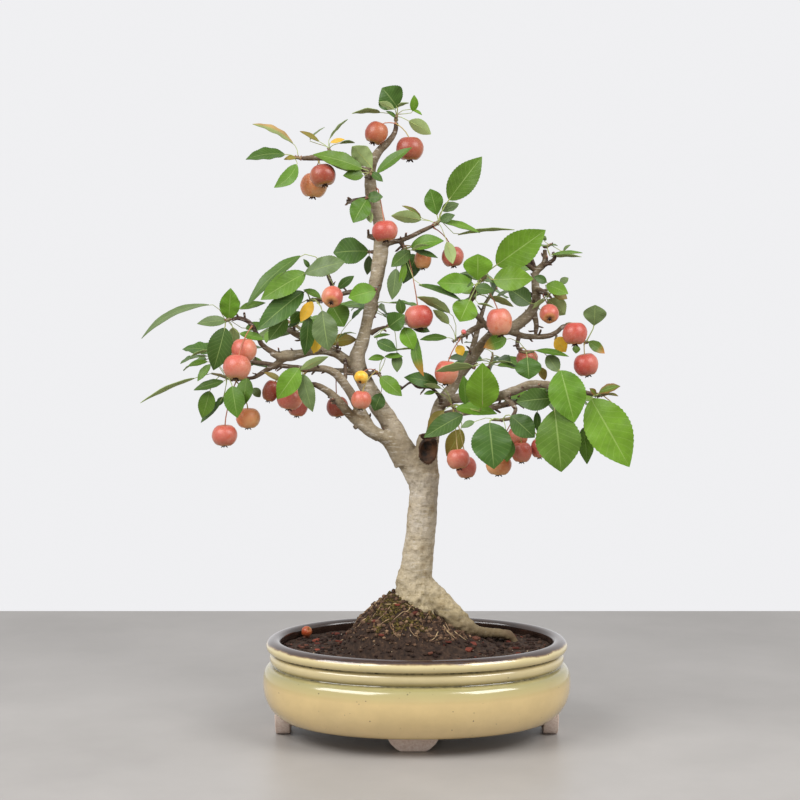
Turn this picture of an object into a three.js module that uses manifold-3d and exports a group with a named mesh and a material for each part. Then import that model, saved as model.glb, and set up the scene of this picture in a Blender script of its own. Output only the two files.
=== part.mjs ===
// Crabapple bonsai in a glazed oval pot: one trunk with its limbs and twigs, leafy shoots, hanging fruit,
// soil and pot. Millimetres, +Z up, front towards -Y.
import * as THREE from "three";
import Module from "manifold-3d";

const wasm = await Module();
wasm.setup();
const { Manifold, Mesh } = wasm;

// ---------------------------------------------------------------------------------- driving dimensions
const GAP = 0.3; // clearance between pieces that touch

const POT = { a: 152, b: 119, height: 98, bottom: 16, floor: 25 }; // rim half-length, half-width, levels
const LIP = 14; // width of the rolled lip, inwards
const POT_SIDES = 28;
const OVAL_POWER = 2.1; // the pot's plan is a little squarer than an ellipse, whose power is 2
const HOLE = { radius: 11, x: 62, top: 40 }; // drainage holes: where they are, and how far up they are cut
const FOOT_THICK = 15;

const SOIL_EDGE = 88; // level of the soil at the lip
const MOUND_TOP = 148; // where the soil meets the trunk
const MOUND = { x: -2, left: 78, right: 95, depth: 72 }; // its middle, and how far it reaches
const MOUND_CURVE = { left: 2, right: 1.5 }; // powers: round on the left, hollow like a tent on the right
const ROUGHNESS = { flat: 2, rise: 0.05 }; // of the soil: on the level, and more for each millimetre up

const BLADE = 0.8; // thickness of a leaf
const FOLD = 0.14; // how far the halves of a leaf rise, as a share of their width
const BLUNT = 0.8; // a leaf's ends are blunter than a sine's, whose power is 1
const TEETH = [0.93, 1.05]; // a toothed margin goes in and out between these shares of the width
const BIG_LEAF = 30; // leaves wider than this get a toothed margin,
const MIDDLE_LEAF = 20; // narrower ones need fewer stations along them,
const SMALL_LEAF = 13; // still narrower ones are flat across,
const TINY_LEAF = 9; // and the narrowest have one station only
const STATIONS = { toothed: 8, wide: 4, middle: 3, tiny: 2 }; // along a blade, without its base
const RIGHTWARD = 0.3; // how much an edge-on blade's upper face prefers the right over up
const PETIOLE = 0.75; // radius of a leaf stalk
const SINK = 0.7; // a leaf stalk starts this far off its shoot's axis, well under the bark,
const END_CLEAR = 1.5; // and this far from either end of the shoot
const LONG_STALK = 18; // a leaf stalk longer than this is bent
const RISE = 0.25; // it leaves the shoot upwards for this share of its length
const ENTER = 0.35; // runs this share of it along the blade's axis,
const STALK_MIDDLE = 0.55; // and has one more ring here, if it is long
// A blade sits on its shoot where it is this near, or this near and straight ahead by this cosine. A stalk is
// in one mesh with its blade where it is longer than this and turns less than this cosine.
const SITS = { near: 3, nearAhead: 6, ahead: 0.8 };
const JOINED = { reach: 4, ahead: 0.05 };

const STALK = 0.85; // radius of a fruit stalk
const FRUIT_SIDES = 8;

const TIDY = 0.08; // faces finer than this are merged where bodies are joined
const SLACK = 0.25; // joined leaves and fruit lose corners that stand out less than this,
const BARK_SLACK = 0.5; // and joined stems those that stand out less than this
const LEAST_FACE = 0.02; // twice the area of the smallest face kept
const MOST_TURN = 0.3; // cosine of the most a face turns as its corner merges

// The crown's tables are a front elevation, as seen by an eye 2 m in front of the pot: x to the right, z up,
// and y the depth, positive to the back. A point at depth y lies on the sight line of its (x, z).
const EYE = { x: -17, y: -2000, z: 500 };
const spread = (y) => 1 - y / EYE.y;
const place = (x, z, y) =>
  new THREE.Vector3(EYE.x + (x - EYE.x) * spread(y), y, EYE.z + (z - EYE.z) * spread(y));

// The depths of stems in the tables are for a flat crown; the real one is this many times as deep. What a
// shoot or a fruit stalk bears keeps its own depth, measured from where it leaves the wood.
const CROWN_DEPTH = 1.7;
const deepen = (rows, from) =>
  rows.map(([x, z, y, ...rest]) => [x, z, y + (CROWN_DEPTH - 1) * from, ...rest]);

// ---------------------------------------------------------------------------------- the wood's skeleton
// Each row is one stem: its side count, then stations of [x, z, y, radius], from its root to its end.
const WOOD = [
  // trunk, flared at the soil, thick at the fork
  [12, [[-2, 66, 0, 34], [-2, 100, 0, 32], [-2, 122, 0, 26], [-1.5, 146, 0, 20.5], [-2, 158, 0, 18],
    [1, 177, 0, 16], [4, 208, 0, 15], [6, 230, 0, 14.7], [7, 252, 0, 15.6], [4, 270, 0, 18.5],
    [-1, 284, 0, 16]]],
  // leader
  [8, [[2, 268, 0, 15], [-12, 286, 0, 12.5], [-25, 313, 0, 10], [-42, 340, 0, 9], [-60, 376, 0, 8.2],
    [-54, 402, 0, 6.6], [-50, 420, 0, 6], [-45, 442, 0, 6.6], [-38, 478, 0, 7.8], [-36, 500, 0, 7.3],
    [-39, 525, 0, 6.2], [-46, 548, 0, 6.4], [-46, 572, 0, 5.2], [-39, 588, -1, 4.2], [-29, 598, -1, 3.4],
    [-22, 608, 0, 2.7], [-21, 618, 0, 2.3]]],
  // pruned stump beside the fork
  [8, [[6, 264, 0, 13], [9, 284, -6, 12], [12, 303, -9, 10.5]]],
  // left limbs: upper, lower
  [8, [[-14, 276, -2, 9.5], [-29, 299, -5, 7], [-45, 309, -8, 6.5], [-53, 322, -9, 5.6],
    [-60, 335, -10, 5.2], [-69, 351, -11, 4.7], [-81, 366, -12, 4.2], [-95, 372, -15, 3.4],
    [-111, 370, -18, 2.4]]],
  [8, [[-38, 303, -8, 6], [-48, 309, -11, 5.8], [-64, 322, -13, 5.2], [-73, 332, -14, 4.8],
    [-81, 341, -15, 4.4], [-90, 349, -16, 3.8], [-101, 355, -17, 2.8], [-111, 357, -18, 1.8]]],
  // limb to the upper left, off the leader, with its knob
  [8, [[-58, 372, 0, 6], [-70, 379, 1, 5.2], [-80, 386, 2, 4.6], [-93, 390, 0, 4.4], [-107, 389, -3, 4.2],
    [-121, 386, -6, 5], [-130, 385, -8, 6], [-139, 385, -10, 4.5], [-147, 388, -11, 3]]],
  [5, [[-139, 385, -10, 3.4], [-155, 395, -12, 2.6], [-161, 407, -14, 2.4], [-168, 418, -16, 2.2],
    [-178, 422.5, -18, 2.1], [-185.6, 421.4, -20, 1.8]]],
  [5, [[-130, 384, -8, 3.6], [-144, 375, -9, 3], [-157, 367, -10, 2.6], [-164, 363, -10.5, 2.2],
    [-170, 362, -10, 2]]],
  [5, [[-92, 389, 0, 3.8], [-107, 398, 3, 3.6], [-120, 406, 5, 3.6], [-131, 413, 5, 3], [-143, 421, 4, 2]]],
  // right limb, from behind the fork to the top right
  [8, [[8, 268, 8, 11], [15, 300, 9, 7.8], [22, 332, 11, 6.7], [34, 350, 12, 6.2], [43, 365, 12, 5.4],
    [56, 382, 11, 5], [66, 397, 10, 5], [78, 408, 8, 5], [93, 412, 8, 5.4], [106, 420, 8, 6],
    [116, 431, 8, 5.2],
    [120, 443, 8, 4.6], [119, 454, 8, 4.2], [119, 468, 8, 3.8], [128, 478, 8, 3.4], [128, 491.6, 8, 2.3]]],
  [4, [[119, 470, 8, 2.6], [110, 477, 6, 2.2], [101, 482, 5, 1.6]]],
  [4, [[118, 472, 8, 2.2], [114, 486, 6, 1.5]]],
  [4, [[124, 474, 8, 2.4], [132, 478, 6, 2.2], [138, 483, 5, 2], [136, 489, 5, 1.6]]],
  // branch to the lower right
  [8, [[28, 340, 12, 5.2], [44, 342, 3, 5], [63, 340, -6, 4.8], [83, 344, -16, 4.6], [99, 350, -24, 4.4],
    [117, 356, -32, 4.2], [143, 354, -40, 3.6], [165, 349, -46, 2.8], [181, 345, -48, 2.2]]],
  [4, [[88, 344, -18, 3], [99, 332, -29, 2.2], [96, 322, -34, 2]]],
  [4, [[132, 355, -36, 2.6], [137, 347, -46, 2.1], [137, 343, -50, 2]]],
  // lateral to the upper left, red-brown
  [5, [[-46, 567, 0, 3.8], [-60, 574, -3, 3.2], [-78, 581, -6, 2.9], [-97, 583, -8, 3.4],
    [-115, 582, -10, 2.4]]],
  [4, [[-88, 580, -7, 2], [-88, 587.7, -4, 1.6]]],
  // twig behind the left foliage and its shoots
  [5, [[-44, 447, 3, 3.4], [-62, 449, 5, 2.6], [-75, 447, 4, 2.4], [-90, 442, 2, 2.2],
    [-104, 441, -2, 1.9]]],
  [4, [[-82, 445, 3.4, 2], [-86, 458, 0, 1.9], [-91, 470, -4, 1.8]]],
  // twigs right of the leader
  [5, [[-36, 496, 0, 4], [-24, 499, -2, 2.9], [-15, 501, -4, 2.6], [-5, 505, -6, 2.4], [5, 510, -8, 2.4],
    [16, 515, -10, 2.2]]],
  [4, [[-16, 501, -4, 2.4], [-14, 494, -2, 2]]],
  [4, [[-46, 408, 0, 3], [-38, 412, -3, 2], [-30, 414, -5, 1.6]]],
  [4, [[-54, 367, 0, 3.6], [-46, 367, -4, 2.4], [-40, 368, -6, 2]]],
  // spurs in front of the leader
  [4, [[-47, 562, 0, 3.4], [-46, 566, -8, 2.5]]],
  [4, [[-46, 545, 0, 3.4], [-49, 543, -8, 2.2]]],
  [4, [[-44, 452, 0, 3.2], [-42, 451, -8.4, 2]]],
  [5, [[-44, 543, 0, 3], [-58, 541, 1, 2.4], [-70, 539, 2, 2.2]]],
  [4, [[-38, 502, 0, 3.4], [-49, 505, -3, 2.6]]],
  [4, [[-40, 489, 0, 3], [-47, 489, 0, 1.7]]],
  [4, [[-79, 386, 2, 2.6], [-80, 395, -3, 1.6]]],
  [4, [[-58, 316, -12, 3], [-63, 312, -14, 2.6]]],
  [4, [[-72, 384, 1, 2], [-72, 362, -11, 1.8]]],
  // twigs of the right limb
  [4, [[22, 333, 11, 2.6], [24, 341, 6, 1.9], [15, 352, 3, 1.6], [1, 353, 1, 1.4], [-6, 358, 0, 1.3],
    [-16, 351, 0, 1.1]]],
  [4, [[24, 336, 11, 3.6], [34, 335, 4, 2.2]]],
  [4, [[51, 376, 11, 3.4], [57, 373, 3, 1.6]]],
  [5, [[78, 408, 8, 4], [69, 416, 5, 3.2], [58, 412, 0, 3.2], [48, 406, -3, 2.6], [41, 402, -4, 1.7]]],
  [5, [[72, 413, 5, 3.2], [59, 427, 1, 2.8], [54, 440, -2, 2.3], [57, 450, -4, 2.3], [63, 458, -6, 2.2]]],
  [5, [[93, 410, 8, 3.8], [106, 405, 6, 3.2], [120, 404, 3, 3], [133, 405, 1, 2.8], [141, 409, 1, 2.6],
    [149, 415, 2, 2.2], [159, 408, 8, 1.9], [167, 400, 4, 1.7]]],
  [4, [[117, 430, 8, 3.2], [120, 416, 6, 2.6], [119, 405, 4, 2]]],
  [4, [[103, 406, 6, 2.6], [101, 396, 3, 2], [104, 390, 0, 1.8]]],
  [4, [[119, 452, 8, 3.4], [126, 449, 4, 2.6], [131, 446, 0, 1.8]]],
  // limbs that reach to the back, and the twigs on them
  [7, [[-44, 344, 1, 5.5], [-50, 358, 13, 4.6], [-64, 376, 26, 3.8], [-84, 392, 38, 3],
    [-104, 402, 46, 2.2]]],
  [5, [[-58, 369, 21, 2.8], [-110, 372, 37, 2.5], [-160, 378, 44, 2.2], [-186, 384, 47, 1.9]]],
  [5, [[-63, 375, 25, 2.6], [-58, 400, 31, 2.2], [-44, 424, 34, 1.9]]],
  [7, [[18, 318, 6, 5.4], [34, 326, 18, 4.6], [62, 330, 30, 3.8], [92, 336, 39, 3], [112, 340, 44, 2.2]]],
  [6, [[50, 372, 9, 4.2], [56, 392, 20, 3.4], [62, 416, 32, 2.8], [68, 436, 40, 2.2]]],
  [5, [[60, 330, 29, 2.8], [62, 350, 33, 2.3], [72, 372, 36, 1.9]]],
];

// Roots that run over the mound and into the soil.
const ROOTS = [
  [7, [[6, 150, -2, 13], [20, 137, -6, 13], [36, 121, -9, 12], [48, 110, -8, 10], [60, 104, 4, 6.5],
    [74, 102.5, 20, 5], [88, 99.5, 30, 4.5], [97, 95.5, 34, 3.5], [106, 88, 32, 3]]],
  [6, [[-12, 130, -2, 9], [-34, 112, -8, 8], [-56, 92, -14, 6], [-74, 80, -18, 4]]],
  [6, [[-2, 130, 12, 9], [-10, 112, 36, 7.5], [-14, 96, 54, 5.5], [-18, 80, 68, 3.5]]],
];

// ---------------------------------------------------------------------------------- leafy shoots
// name, stations of the green shoot [x, z, y, radius], then its leaves:
// [base x, z, y, tip x, z, y, width, turn, arch, sweep, widest]. Turn is 0 where the upper face looks to the
// front, 90 where the blade is edge-on with that face up, and 180 where the underside shows.
const SHOOTS = [
  ["crown_tip", [[-21, 619.1, 0, 2.1], [-21, 622, -1, 2], [-20, 626, -1, 1.4]], [
    [-20, 633, -2, -35, 652, -10, 29, 12, 2, 0, 0.5], [-23, 631, -9, -38, 638, -16, 8, 160],
    [-37, 627.5, -3, -65, 626.5, -14, 14, 105, 1.5], [-19, 622, -3, -31, 629, -8, 5, 40],
    [-4, 629, -4, -3, 645, -8, 9, 25], [-4, 630, -4, 5, 625, -8, 4, 40], [-21, 632, 1, -8, 637, -2, 9, 105],
    [-8, 619, -4, 14, 606, -8, 15, 150, 1.5]]],
  ["lateral_end", [[-115.9, 582, -10.1, 1.8], [-120, 583, -11, 1.6], [-124, 582, -12, 1]], [
    [-124, 597, -10, -164, 616, -16, 14, 62, 4], [-132, 586, -14, -171, 581, -24, 19, 50, 3],
    [-120, 583, -13, -133, 581, -15, 6, 40], [-120, 576, -14, -143, 553, -22, 15, 15, 2, -4]]],
  ["lateral_mid", [[-88, 588.1, -3.6, 1.4], [-88, 591, -3, 1.3], [-87, 593, -3, 0.8]], [
    [-98, 599, -2, -117, 609, -6, 8, 55], [-87, 602, -1, -69, 621, 4, 10, 100],
    [-86, 598, -6, -72, 601, -8, 5, 20],
    [-77, 597, -2, -62, 597.5, 2, 8, 110], [-107, 601, 2, -92, 613, 6, 8, 80]]],
  ["leader_high", [[-46, 566, -8.8, 2.2], [-46, 568, -11, 2], [-45, 570, -13, 1.2]], [
    [-55, 572, -13, -104, 586, -26, 19, 35, 3], [-55, 568, -14, -94, 581, -20, 10, 150, 1],
    [-54, 565, -14, -74, 565, -20, 12, 25], [-45, 573, -13, -65, 594, -18, 21, 155, 2, 0, 0.55],
    [-40, 568, -12, -5, 593, -24, 13, 40, 2], [-43, 565, -12, -34, 559, -16, 8, 20]]],
  ["leader_mid", [[-49, 543, -8.4, 2], [-50, 543, -11, 1.5]], [
    [-50, 540, -12, -64, 518, -20, 21, 10, 2, 0, 0.5], [-49, 542, -12, -34, 544, -16, 12, 20],
    [-50, 531, -13, -46, 518, -19, 8, 160]]],
  ["spur_right", [[17.3, 515.7, -10.2, 2], [20, 518, -10, 2], [24, 521, -10, 1.2]], [
    [4, 521, -12, -26, 525, -16, 14, 150, 2], [4, 523, -9, -15, 535, -8, 8, 60, 2],
    [20, 526, -11, 13, 552, -14, 19, 8, 1, 0, 0.55], [32, 541, -12, 65, 584, -20, 27, 8, 3],
    [25, 530, -6, 42, 537, 0, 12, 35], [25, 519, -12, 38, 526, -16, 10, 25],
    [27, 519, -10, 63, 508, -18, 10, 50, 2],
    [41, 506, -8, 98, 511, -16, 11, 107, 2], [30, 499, -14, 36, 477, -20, 12, 160]]],
  ["spur_centre", [[-13.8, 492.6, -2.5, 1.8], [-13, 490.5, -3.4, 1.6], [-12, 488, -4, 1]], [
    [-6, 494, -8, 27, 500, -18, 17, 35, 3], [-5, 491, -14, 12, 496, -20, 7, 140],
    [-2, 490, -8, 21, 483, -14, 8, 45],
    [-7, 490, -6, -26, 474, -12, 14, 10], [0, 486, 25, -14, 457, 19, 20, 10, 2, 0, 0.35],
    [-12, 478, -8, -18, 455, -12, 8, 30], [-21, 472, -10, -25, 441, -14, 15, 10],
    [2, 456, -13, 45, 440, -22, 10, 55, 3]]],
  ["leader_left", [[-47.4, 489, 0, 1.5], [-49, 489, 0, 1.3]], [
    [-49, 490, 0, -84, 488, -6, 28, 20, 3, 0, 0.55], [-48, 485, 6, -50, 466, 8, 9, 10]]],
  ["left_upper", [[-91.3, 470.6, -4.3, 1.6], [-92, 474, -6, 1.4], [-94, 477, -7, 0.9]], [
    [-117, 485, -6, -171, 434, -18, 18, 45, 6], [-112, 468, -14, -157, 441, -26, 23, 12, 3],
    [-113, 467, -16, -72, 479, -26, 21, 25, 3, 0, 0.55], [-108, 473, -6, -114, 482, -8, 5, 20],
    [-79, 452, -10, -63, 465, -6, 10, 30]]],
  ["left_centre", [[-105, 440.9, -2.7, 1.5], [-109, 440, -5.6, 1.2]], [
    [-114, 449, -12, -161, 410, -30, 24, 18, 3], [-97, 444, -10, -114, 451, -14, 9, 45],
    [-109, 424, -14, -113, 385, -22, 16, 20, 2], [-95, 430, -26, -89, 390, -34, 26, -5, 2, 0, 0.5],
    [-86, 436, -8, -73, 414, -14, 25, 5, 2, 0, 0.5], [-117, 429, -6, -127, 417, -10, 11, 10],
    [-131, 423, -10, -149, 400, -18, 17, 10], [-118, 419, -2, -130, 413, -4, 6, 40]]],
  ["leader_elbow", [[-42, 451, -8.9, 1.7], [-41, 451, -11, 1.2]],
    [[-40, 450, -12, -69, 443, -22, 21, 10, 2, 0, 0.5]]],
  ["limb_left_up", [[-80, 396, -3.4, 1.4], [-80, 399, -4, 1]], [
    [-65, 422, -2, -54, 433, 2, 8, 60], [-79, 402, -6, -61, 407, -8, 8, 100, 3],
    [-88, 398, 6, -60, 401, 10, 14, 30, 2],
    [-99, 404, -8, -104, 387, -12, 11, 0]]],
  ["far_left_high", [[-187.6, 422, -20.2, 1.8], [-191.5, 420.4, -20.4, 1.8], [-196, 420, -21, 1]], [
    [-189, 427, -22, -187, 453, -26, 20, 5, 2], [-179, 434, -13, -183, 443, -11, 6, 40],
    [-209, 436, -22, -277, 402, -44, 15, 62, 9], [-192, 421, -24, -221, 417, -34, 12, 30, 1],
    [-193, 413, -24, -205, 370, -28, 25, 10, 3], [-178, 432, 2, -152, 438, 8, 10, 50],
    [-172, 412, -4, -153, 416, 0, 10, 30], [-185, 413, -10, -184, 394, -6, 12, 165],
    [-178, 407, -17, -153, 401, -13, 10, 40]]],
  ["far_left_low", [[-170.9, 362, -10, 1.9], [-185, 361, -13, 1.7], [-198, 365, -15, 1.5],
    [-207, 367, -16, 0.9]], [
    [-209, 390, -12, -228, 384, -14, 7, 115], [-211, 379, -14, -231, 374, -18, 8, 50],
    [-208, 376, -16, -221, 359, -20, 9, 30], [-224, 362, -18, -279, 337, -36, 11, 112, 2],
    [-195, 359, -18, -225, 350, -24, 11, 40, 1], [-209, 349, -16, -217, 322, -20, 17, 15, 2],
    [-197, 340, -12, -218, 317, -14, 9, 35], [-195, 343, -10, -201, 334, -10, 7, 20],
    [-186, 354, -22, -181, 322, -28, 21, 0, 2], [-171, 362, -16, -174, 335, -20, 18, -20, 2],
    [-165, 352, -2, -158, 343, 0, 9, 20]]],
  ["left_low", [[-112, 370, -18.9, 1.8], [-115, 370, -21, 1.5], [-118, 370, -23, 1]], [
    [-119, 372, -28, -141, 341, -36, 22, 0, 3], [-117, 371, -28, -89, 384, -27, 10, 150, 1],
    [-115, 366, -26, -105, 328, -32, 17, -10, 2], [-137, 360, -22, -154, 368, -25, 7, 40]]],
  ["centre_low", [[-38.7, 367.8, -7.1, 1.8], [-38, 366, -7, 1.6], [-36, 362, -8, 1]], [
    [-36, 347, -10, -43, 329, -14, 15, 0, 1, 0, 0.5], [-37, 362, -10, -15, 344, -16, 16, 15, 2],
    [-33, 383, -8, -49, 381, -12, 8, 40], [-32, 384, -8, -14, 384, -12, 7, 40]]],
  ["centre_mid", [[-29.3, 414.1, -5.4, 1.4], [-26, 414, -6, 1.3], [-22, 413, -7, 0.9]], [
    [-28, 414, -12, -12, 426, -18, 20, 10, 2], [-15, 427, -4, -18, 442, -4, 10, 5],
    [-6, 415, 2, 13, 409, 2, 10, 30],
    [-13, 413, -12, -3, 391, -16, 17, 0, 2], [-1, 404, -10, 7, 364, -14, 11, 15, 2, 4],
    [-40, 399, -10, -20, 390, -14, 13, 20], [-20, 388, -6, -20, 368, -10, 11, 0],
    [-1, 392, -4, -27, 389, -6, 5, 110], [-43, 403, -9, -27, 406, -10, 6, 60]]],
  ["right_low", [[34.7, 334.9, 3.2, 2], [36, 334, 0, 1.8], [38, 333, -4, 1.2]], [
    [21, 357, 1, -13, 363, -7, 16, 25, 2], [24, 352, -6, 7, 356, -10, 6, 150],
    [18, 348, -2, 7, 346, -4, 5, 30],
    [40, 332, -14, 81, 326, -30, 16, 40, 3], [46, 325, -26, 7, 302, -40, 20, 20, 3],
    [27, 329, -4, 11, 310, -8, 13, 20],
    [49, 336, -16, 47, 365, -18, 13, 10], [66, 332, -37, 66, 378, -44, 33, 0, 2, 0, 0.42],
    [45, 310, -2, 30, 283, -8, 18, 0, 2]]],
  ["limb_right", [[57.2, 372.8, 2.6, 1.4], [58, 372, 0, 1.2]], [
    [56, 374, -37, 19, 369, -41, 15, 125, 1], [73, 377, -4, 96, 378, -8, 6, 110]]],
  ["twig_centre", [[40.4, 401.6, -4.3, 1.4], [36.6, 399, -6, 1.1]], [
    [33, 428, -8, 0, 444, -14, 15, 130, 2], [32, 417, -4, 16, 431, -6, 11, 140],
    [30, 403, -10, 3, 401, -13, 10, 50],
    [41, 395, -1, 46, 385, -3, 10, 10]]],
  ["right_upper", [[64, 459.6, -7, 2], [67, 463, -8.6, 1.8], [70, 466, -10, 1.1]], [
    [53, 441, -14, 43, 419, -20, 26, 5, 2, 0, 0.5], [57, 456, -12, 20, 458, -20, 21, 15, 2, 0, 0.5],
    [55, 463, -11, 38, 455, -13, 14, 15], [59, 453, -14, 77, 450, -18, 12, 20],
    [61, 461, -12, 61, 487, -16, 29, 0, 2, 0, 0.6], [80, 476, -12, 129, 511, -26, 34, 5, 3],
    [77, 461, -14, 117, 462, -24, 25, 15, 3], [73, 444, 1, 97, 434, 3, 10, 130],
    [61, 437, -15, 77, 433, -17, 6, 110]]],
  ["right_top", [[128.8, 493.8, 8, 1.9], [135, 497, 7, 1.2]], [
    [135, 486, 0, 166, 488, -8, 10, 70], [135, 484, 10, 165, 484, 6, 9, 110],
    [147, 490, 6, 154, 496, 6, 5, 60],
    [130, 494, 6, 118, 494, 2, 6, 75], [133, 494, 6, 141, 495, 4, 5, 75],
    [127, 501, 6, 129, 505, 4, 6, 20]]],
  ["right_shoulder", [[131.3, 445.6, -0.3, 1.6], [134, 444, -3, 1.3]], [
    [130, 459, -4, 117, 464, -8, 9, 20], [130, 456, -8, 152, 447, -14, 15, 20, 2],
    [136, 449, -4, 151, 442, -6, 12, 30],
    [144, 457, 0, 152, 463, 2, 8, 30], [131, 441, 6, 149, 426, 4, 21, 150, 2, 0, 0.5],
    [129, 441, -6, 116, 432, -10, 7, 130], [114, 437, -4, 91, 453, -2, 21, 20]]],
  ["right_mid", [[167.7, 399.3, 3.8, 1.5], [170, 398, 3, 1.3], [173, 399, 2, 0.9]], [
    [178, 415, 0, 179, 436, -4, 23, 0, 1, 0, 0.6], [173, 399, -2, 189, 387, -6, 11, 20],
    [160, 395, 0, 160, 387, -2, 8, 10]]],
  ["right_inner", [[104.7, 389.4, -0.9, 1.6], [110, 388, -3.5, 1.4], [118, 389, -5, 0.9]], [
    [120, 390, -8, 153, 384, -14, 8, 45, 2], [111, 383, -12, 113, 361, -18, 26, 0, 2, 0, 0.5],
    [131, 385, -4, 143, 368, -8, 15, 15], [124, 373, 0, 129, 360, 0, 9, 20],
    [90, 402, -2, 67, 393, -4, 15, 15]]],
  ["low_front", [[95.3, 321.4, -35, 1.8], [85, 320, -38, 1.6], [75, 320, -42, 1]], [
    [73, 317, -46, 78, 270, -58, 40, 0, 3], [91, 302, -47, 91, 277, -51, 16, 10],
    [95, 324, -48, 119, 302, -58, 23, 10, 2, 0, 0.5], [58, 318, -34, 45, 312, -34, 8, 40]]],
  ["low_right", [[136.8, 342.6, -50.3, 1.8], [137, 340, -54, 1.5], [138, 337, -56, 1]], [
    [134, 342, -52, 100, 338, -50, 23, 15, 3], [121, 328, -44, 121, 309, -44, 8, 15],
    [145, 370, -56, 159, 317, -68, 37, 0, 3], [139, 330, -60, 146, 267, -72, 45, 0, 4, 0, 0.5],
    [139, 339, -58, 149, 327, -62, 5, 60]]],
  ["low_right_end", [[182, 344.8, -48.5, 1.8], [186, 345, -50, 1.5], [192, 346, -51, 1]], [
    [176, 341, -54, 215, 272, -72, 45, 0, 4], [168, 312, -48, 172, 275, -52, 17, 20],
    [184, 348, -52, 205, 354, -60, 12, 50], [180, 346, -54, 174, 352, -58, 6, 20],
    [196, 346, -52, 203, 344, -54, 5, 60]]],
  ["yellow_leaf_left", [[-97.4, 438.7, -1.5, 1], [-99, 437.4, -6, 0.9]],
    [[-105, 439, -15, -117, 419, -19, 12, 5, 1]]],
  ["yellow_leaf_right", [[140, 404.8, 0.4, 1], [139.4, 402, -0.6, 0.9]],
    [[139, 401, -1, 150, 388.5, -2, 15, 10, 1]]],
];

// Shoots on the limbs at the back: name, shoot, seed, leaf count, reach of the spread.
const BACK_SHOOTS = [
  ["back_left_high", [[-104.6, 402.2, 46.4, 1.9], [-120, 414, 54, 1.7], [-138, 424, 60, 1]], 11, 9, 46],
  ["back_left_low", [[-187.4, 384.1, 47.6, 1.7], [-196, 386, 52, 1.5], [-204, 382, 62, 1]], 29, 7, 40],
  ["back_middle", [[-43.7, 424.8, 34.1, 1.6], [-40, 434, 38, 1.5], [-42, 446, 46, 1]], 53, 8, 40],
  ["back_right_high", [[68.2, 436.7, 40.3, 1.9], [78, 452, 46, 1.7], [84, 462, 56, 1]], 37, 9, 46],
  ["back_right_mid", [[72.3, 372.7, 36.2, 1.6], [76, 382, 42, 1.5], [76, 388, 50, 1]], 61, 7, 40],
  ["back_right_low", [[112.6, 340.2, 44.3, 1.9], [126, 346, 50, 1.7], [142, 350, 58, 1]], 41, 9, 48],
];

// ---------------------------------------------------------------------------------- fruit
// name, where the stalks leave the wood [x, z, y], then [centre x, z, y, radius, half-height, axis x, z, y].
const FRUIT = [
  ["tip", [-20.5, 616.6, -4.5], [[-40.5, 607, -6, 11.3, 11.3, 0.35, 0.9, 0.1],
    [-7, 591.5, -4, 13.7, 12, 0, 1, 0]]],
  ["lateral", [-98, 578, -9], [[-94, 565, -18, 13, 11, -0.2, 0.95, 0.2],
    [-103, 555, 6, 13.5, 12.5, 0.1, 1, 0]]],
  ["leader", [-38.6, 552, -2], [[-32, 509.5, -22, 13, 10.6, -0.1, 1, 0.1]]],
  ["spur_right", [18, 511.6, -9], [[36, 484, 2, 11.2, 10.3, -0.1, 1, 0]]],
  ["far_left_front", [-166, 412, -21], [[-174, 390, -24, 13, 12, 0, 1, 0],
    [-181, 373, -46, 14, 12.5, 0.1, 1, 0.2]]],
  ["left_centre", [-79, 449.8, 0], [[-85, 444, -30, 10.7, 10.2, 0.1, 0.6, 0.8]]],
  ["centre", [-3, 499, 2.4], [[2, 423.5, -16, 14.4, 12.2, -0.1, 1, 0.1],
    [6, 481, 4, 8.6, 9.4, 0, 1, 0.1]]],
  ["right_upper", [66.4, 455, -6], [[83, 418.5, -15, 13, 14, -0.1, 1, 0]]],
  ["twig_centre", [45, 399.4, -6.6], [[30, 367.5, -6, 12, 12.2, 0.1, 1, 0],
    [47, 408.6, -12, 2.6, 2.6, 0, 1, 0.4]]],
  ["right_shoulder", [127, 445.6, 1], [[133, 427, -14, 9.7, 9, 0, 0.6, 0.8]]],
  ["right_twig", [151, 418, 0], [[159, 406.8, -14, 12.5, 11.5, 0, 1, 0.1]]],
  ["right_mid", [168.6, 397, 3], [[170.5, 375.5, -4, 12.5, 11.5, -0.2, 1, 0]]],
  ["right_inner", [106.4, 392.6, 1.6], [[111, 382, 12, 11, 8.6, 0, 1, 0]]],
  ["far_left_low", [-182, 357, -9], [[-194, 304, -14, 12.8, 11, 0, 1, 0],
    [-170, 321.5, -8, 12.2, 10.4, 0, 1, 0]]],
  ["left_low", [-112, 366, -14.4], [[-147, 349, -4, 8.5, 11, 0.3, 1, 0],
    [-128, 341, -14, 13, 11, 0.1, 1, 0], [-120, 334, 9, 10.5, 11, 0.1, 1, 0]]],
  ["behind_limb", [-84.6, 360, -6], [[-80, 333, 10, 11, 10.4, -0.1, 1, 0]]],
  ["fork", [-43, 371, -9], [[-56, 340, -28, 10.2, 9.4, 0.1, 1, 0], [-56, 363, -30, 7, 6, 0.3, 1, 0.6]]],
  ["low_centre", [36.6, 331.6, 2], [[42, 280, -38, 11.6, 10.5, -0.1, 1, 0.1],
    [50, 271.5, -18, 10.5, 11, -0.1, 1, 0]]],
  ["low_front", [99, 320, -32], [[83, 274, -26, 13, 10.5, 0, 1, 0], [102, 303, -26, 10.5, 10, 0, 1, 0],
    [106, 287, -36, 10.5, 10.5, 0, 1, 0], [124, 291, -28, 9, 10, 0, 1, 0]]],
  ["low_right_end", [184, 347.6, -46.6], [[207, 311, -44, 10, 9.4, 0.1, 1, 0]]],
  ["fallen_on_soil", null, [[-112, 103.8, 46, 5.4, 5, 0.5, 0.6, -0.6]]],
];
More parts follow.
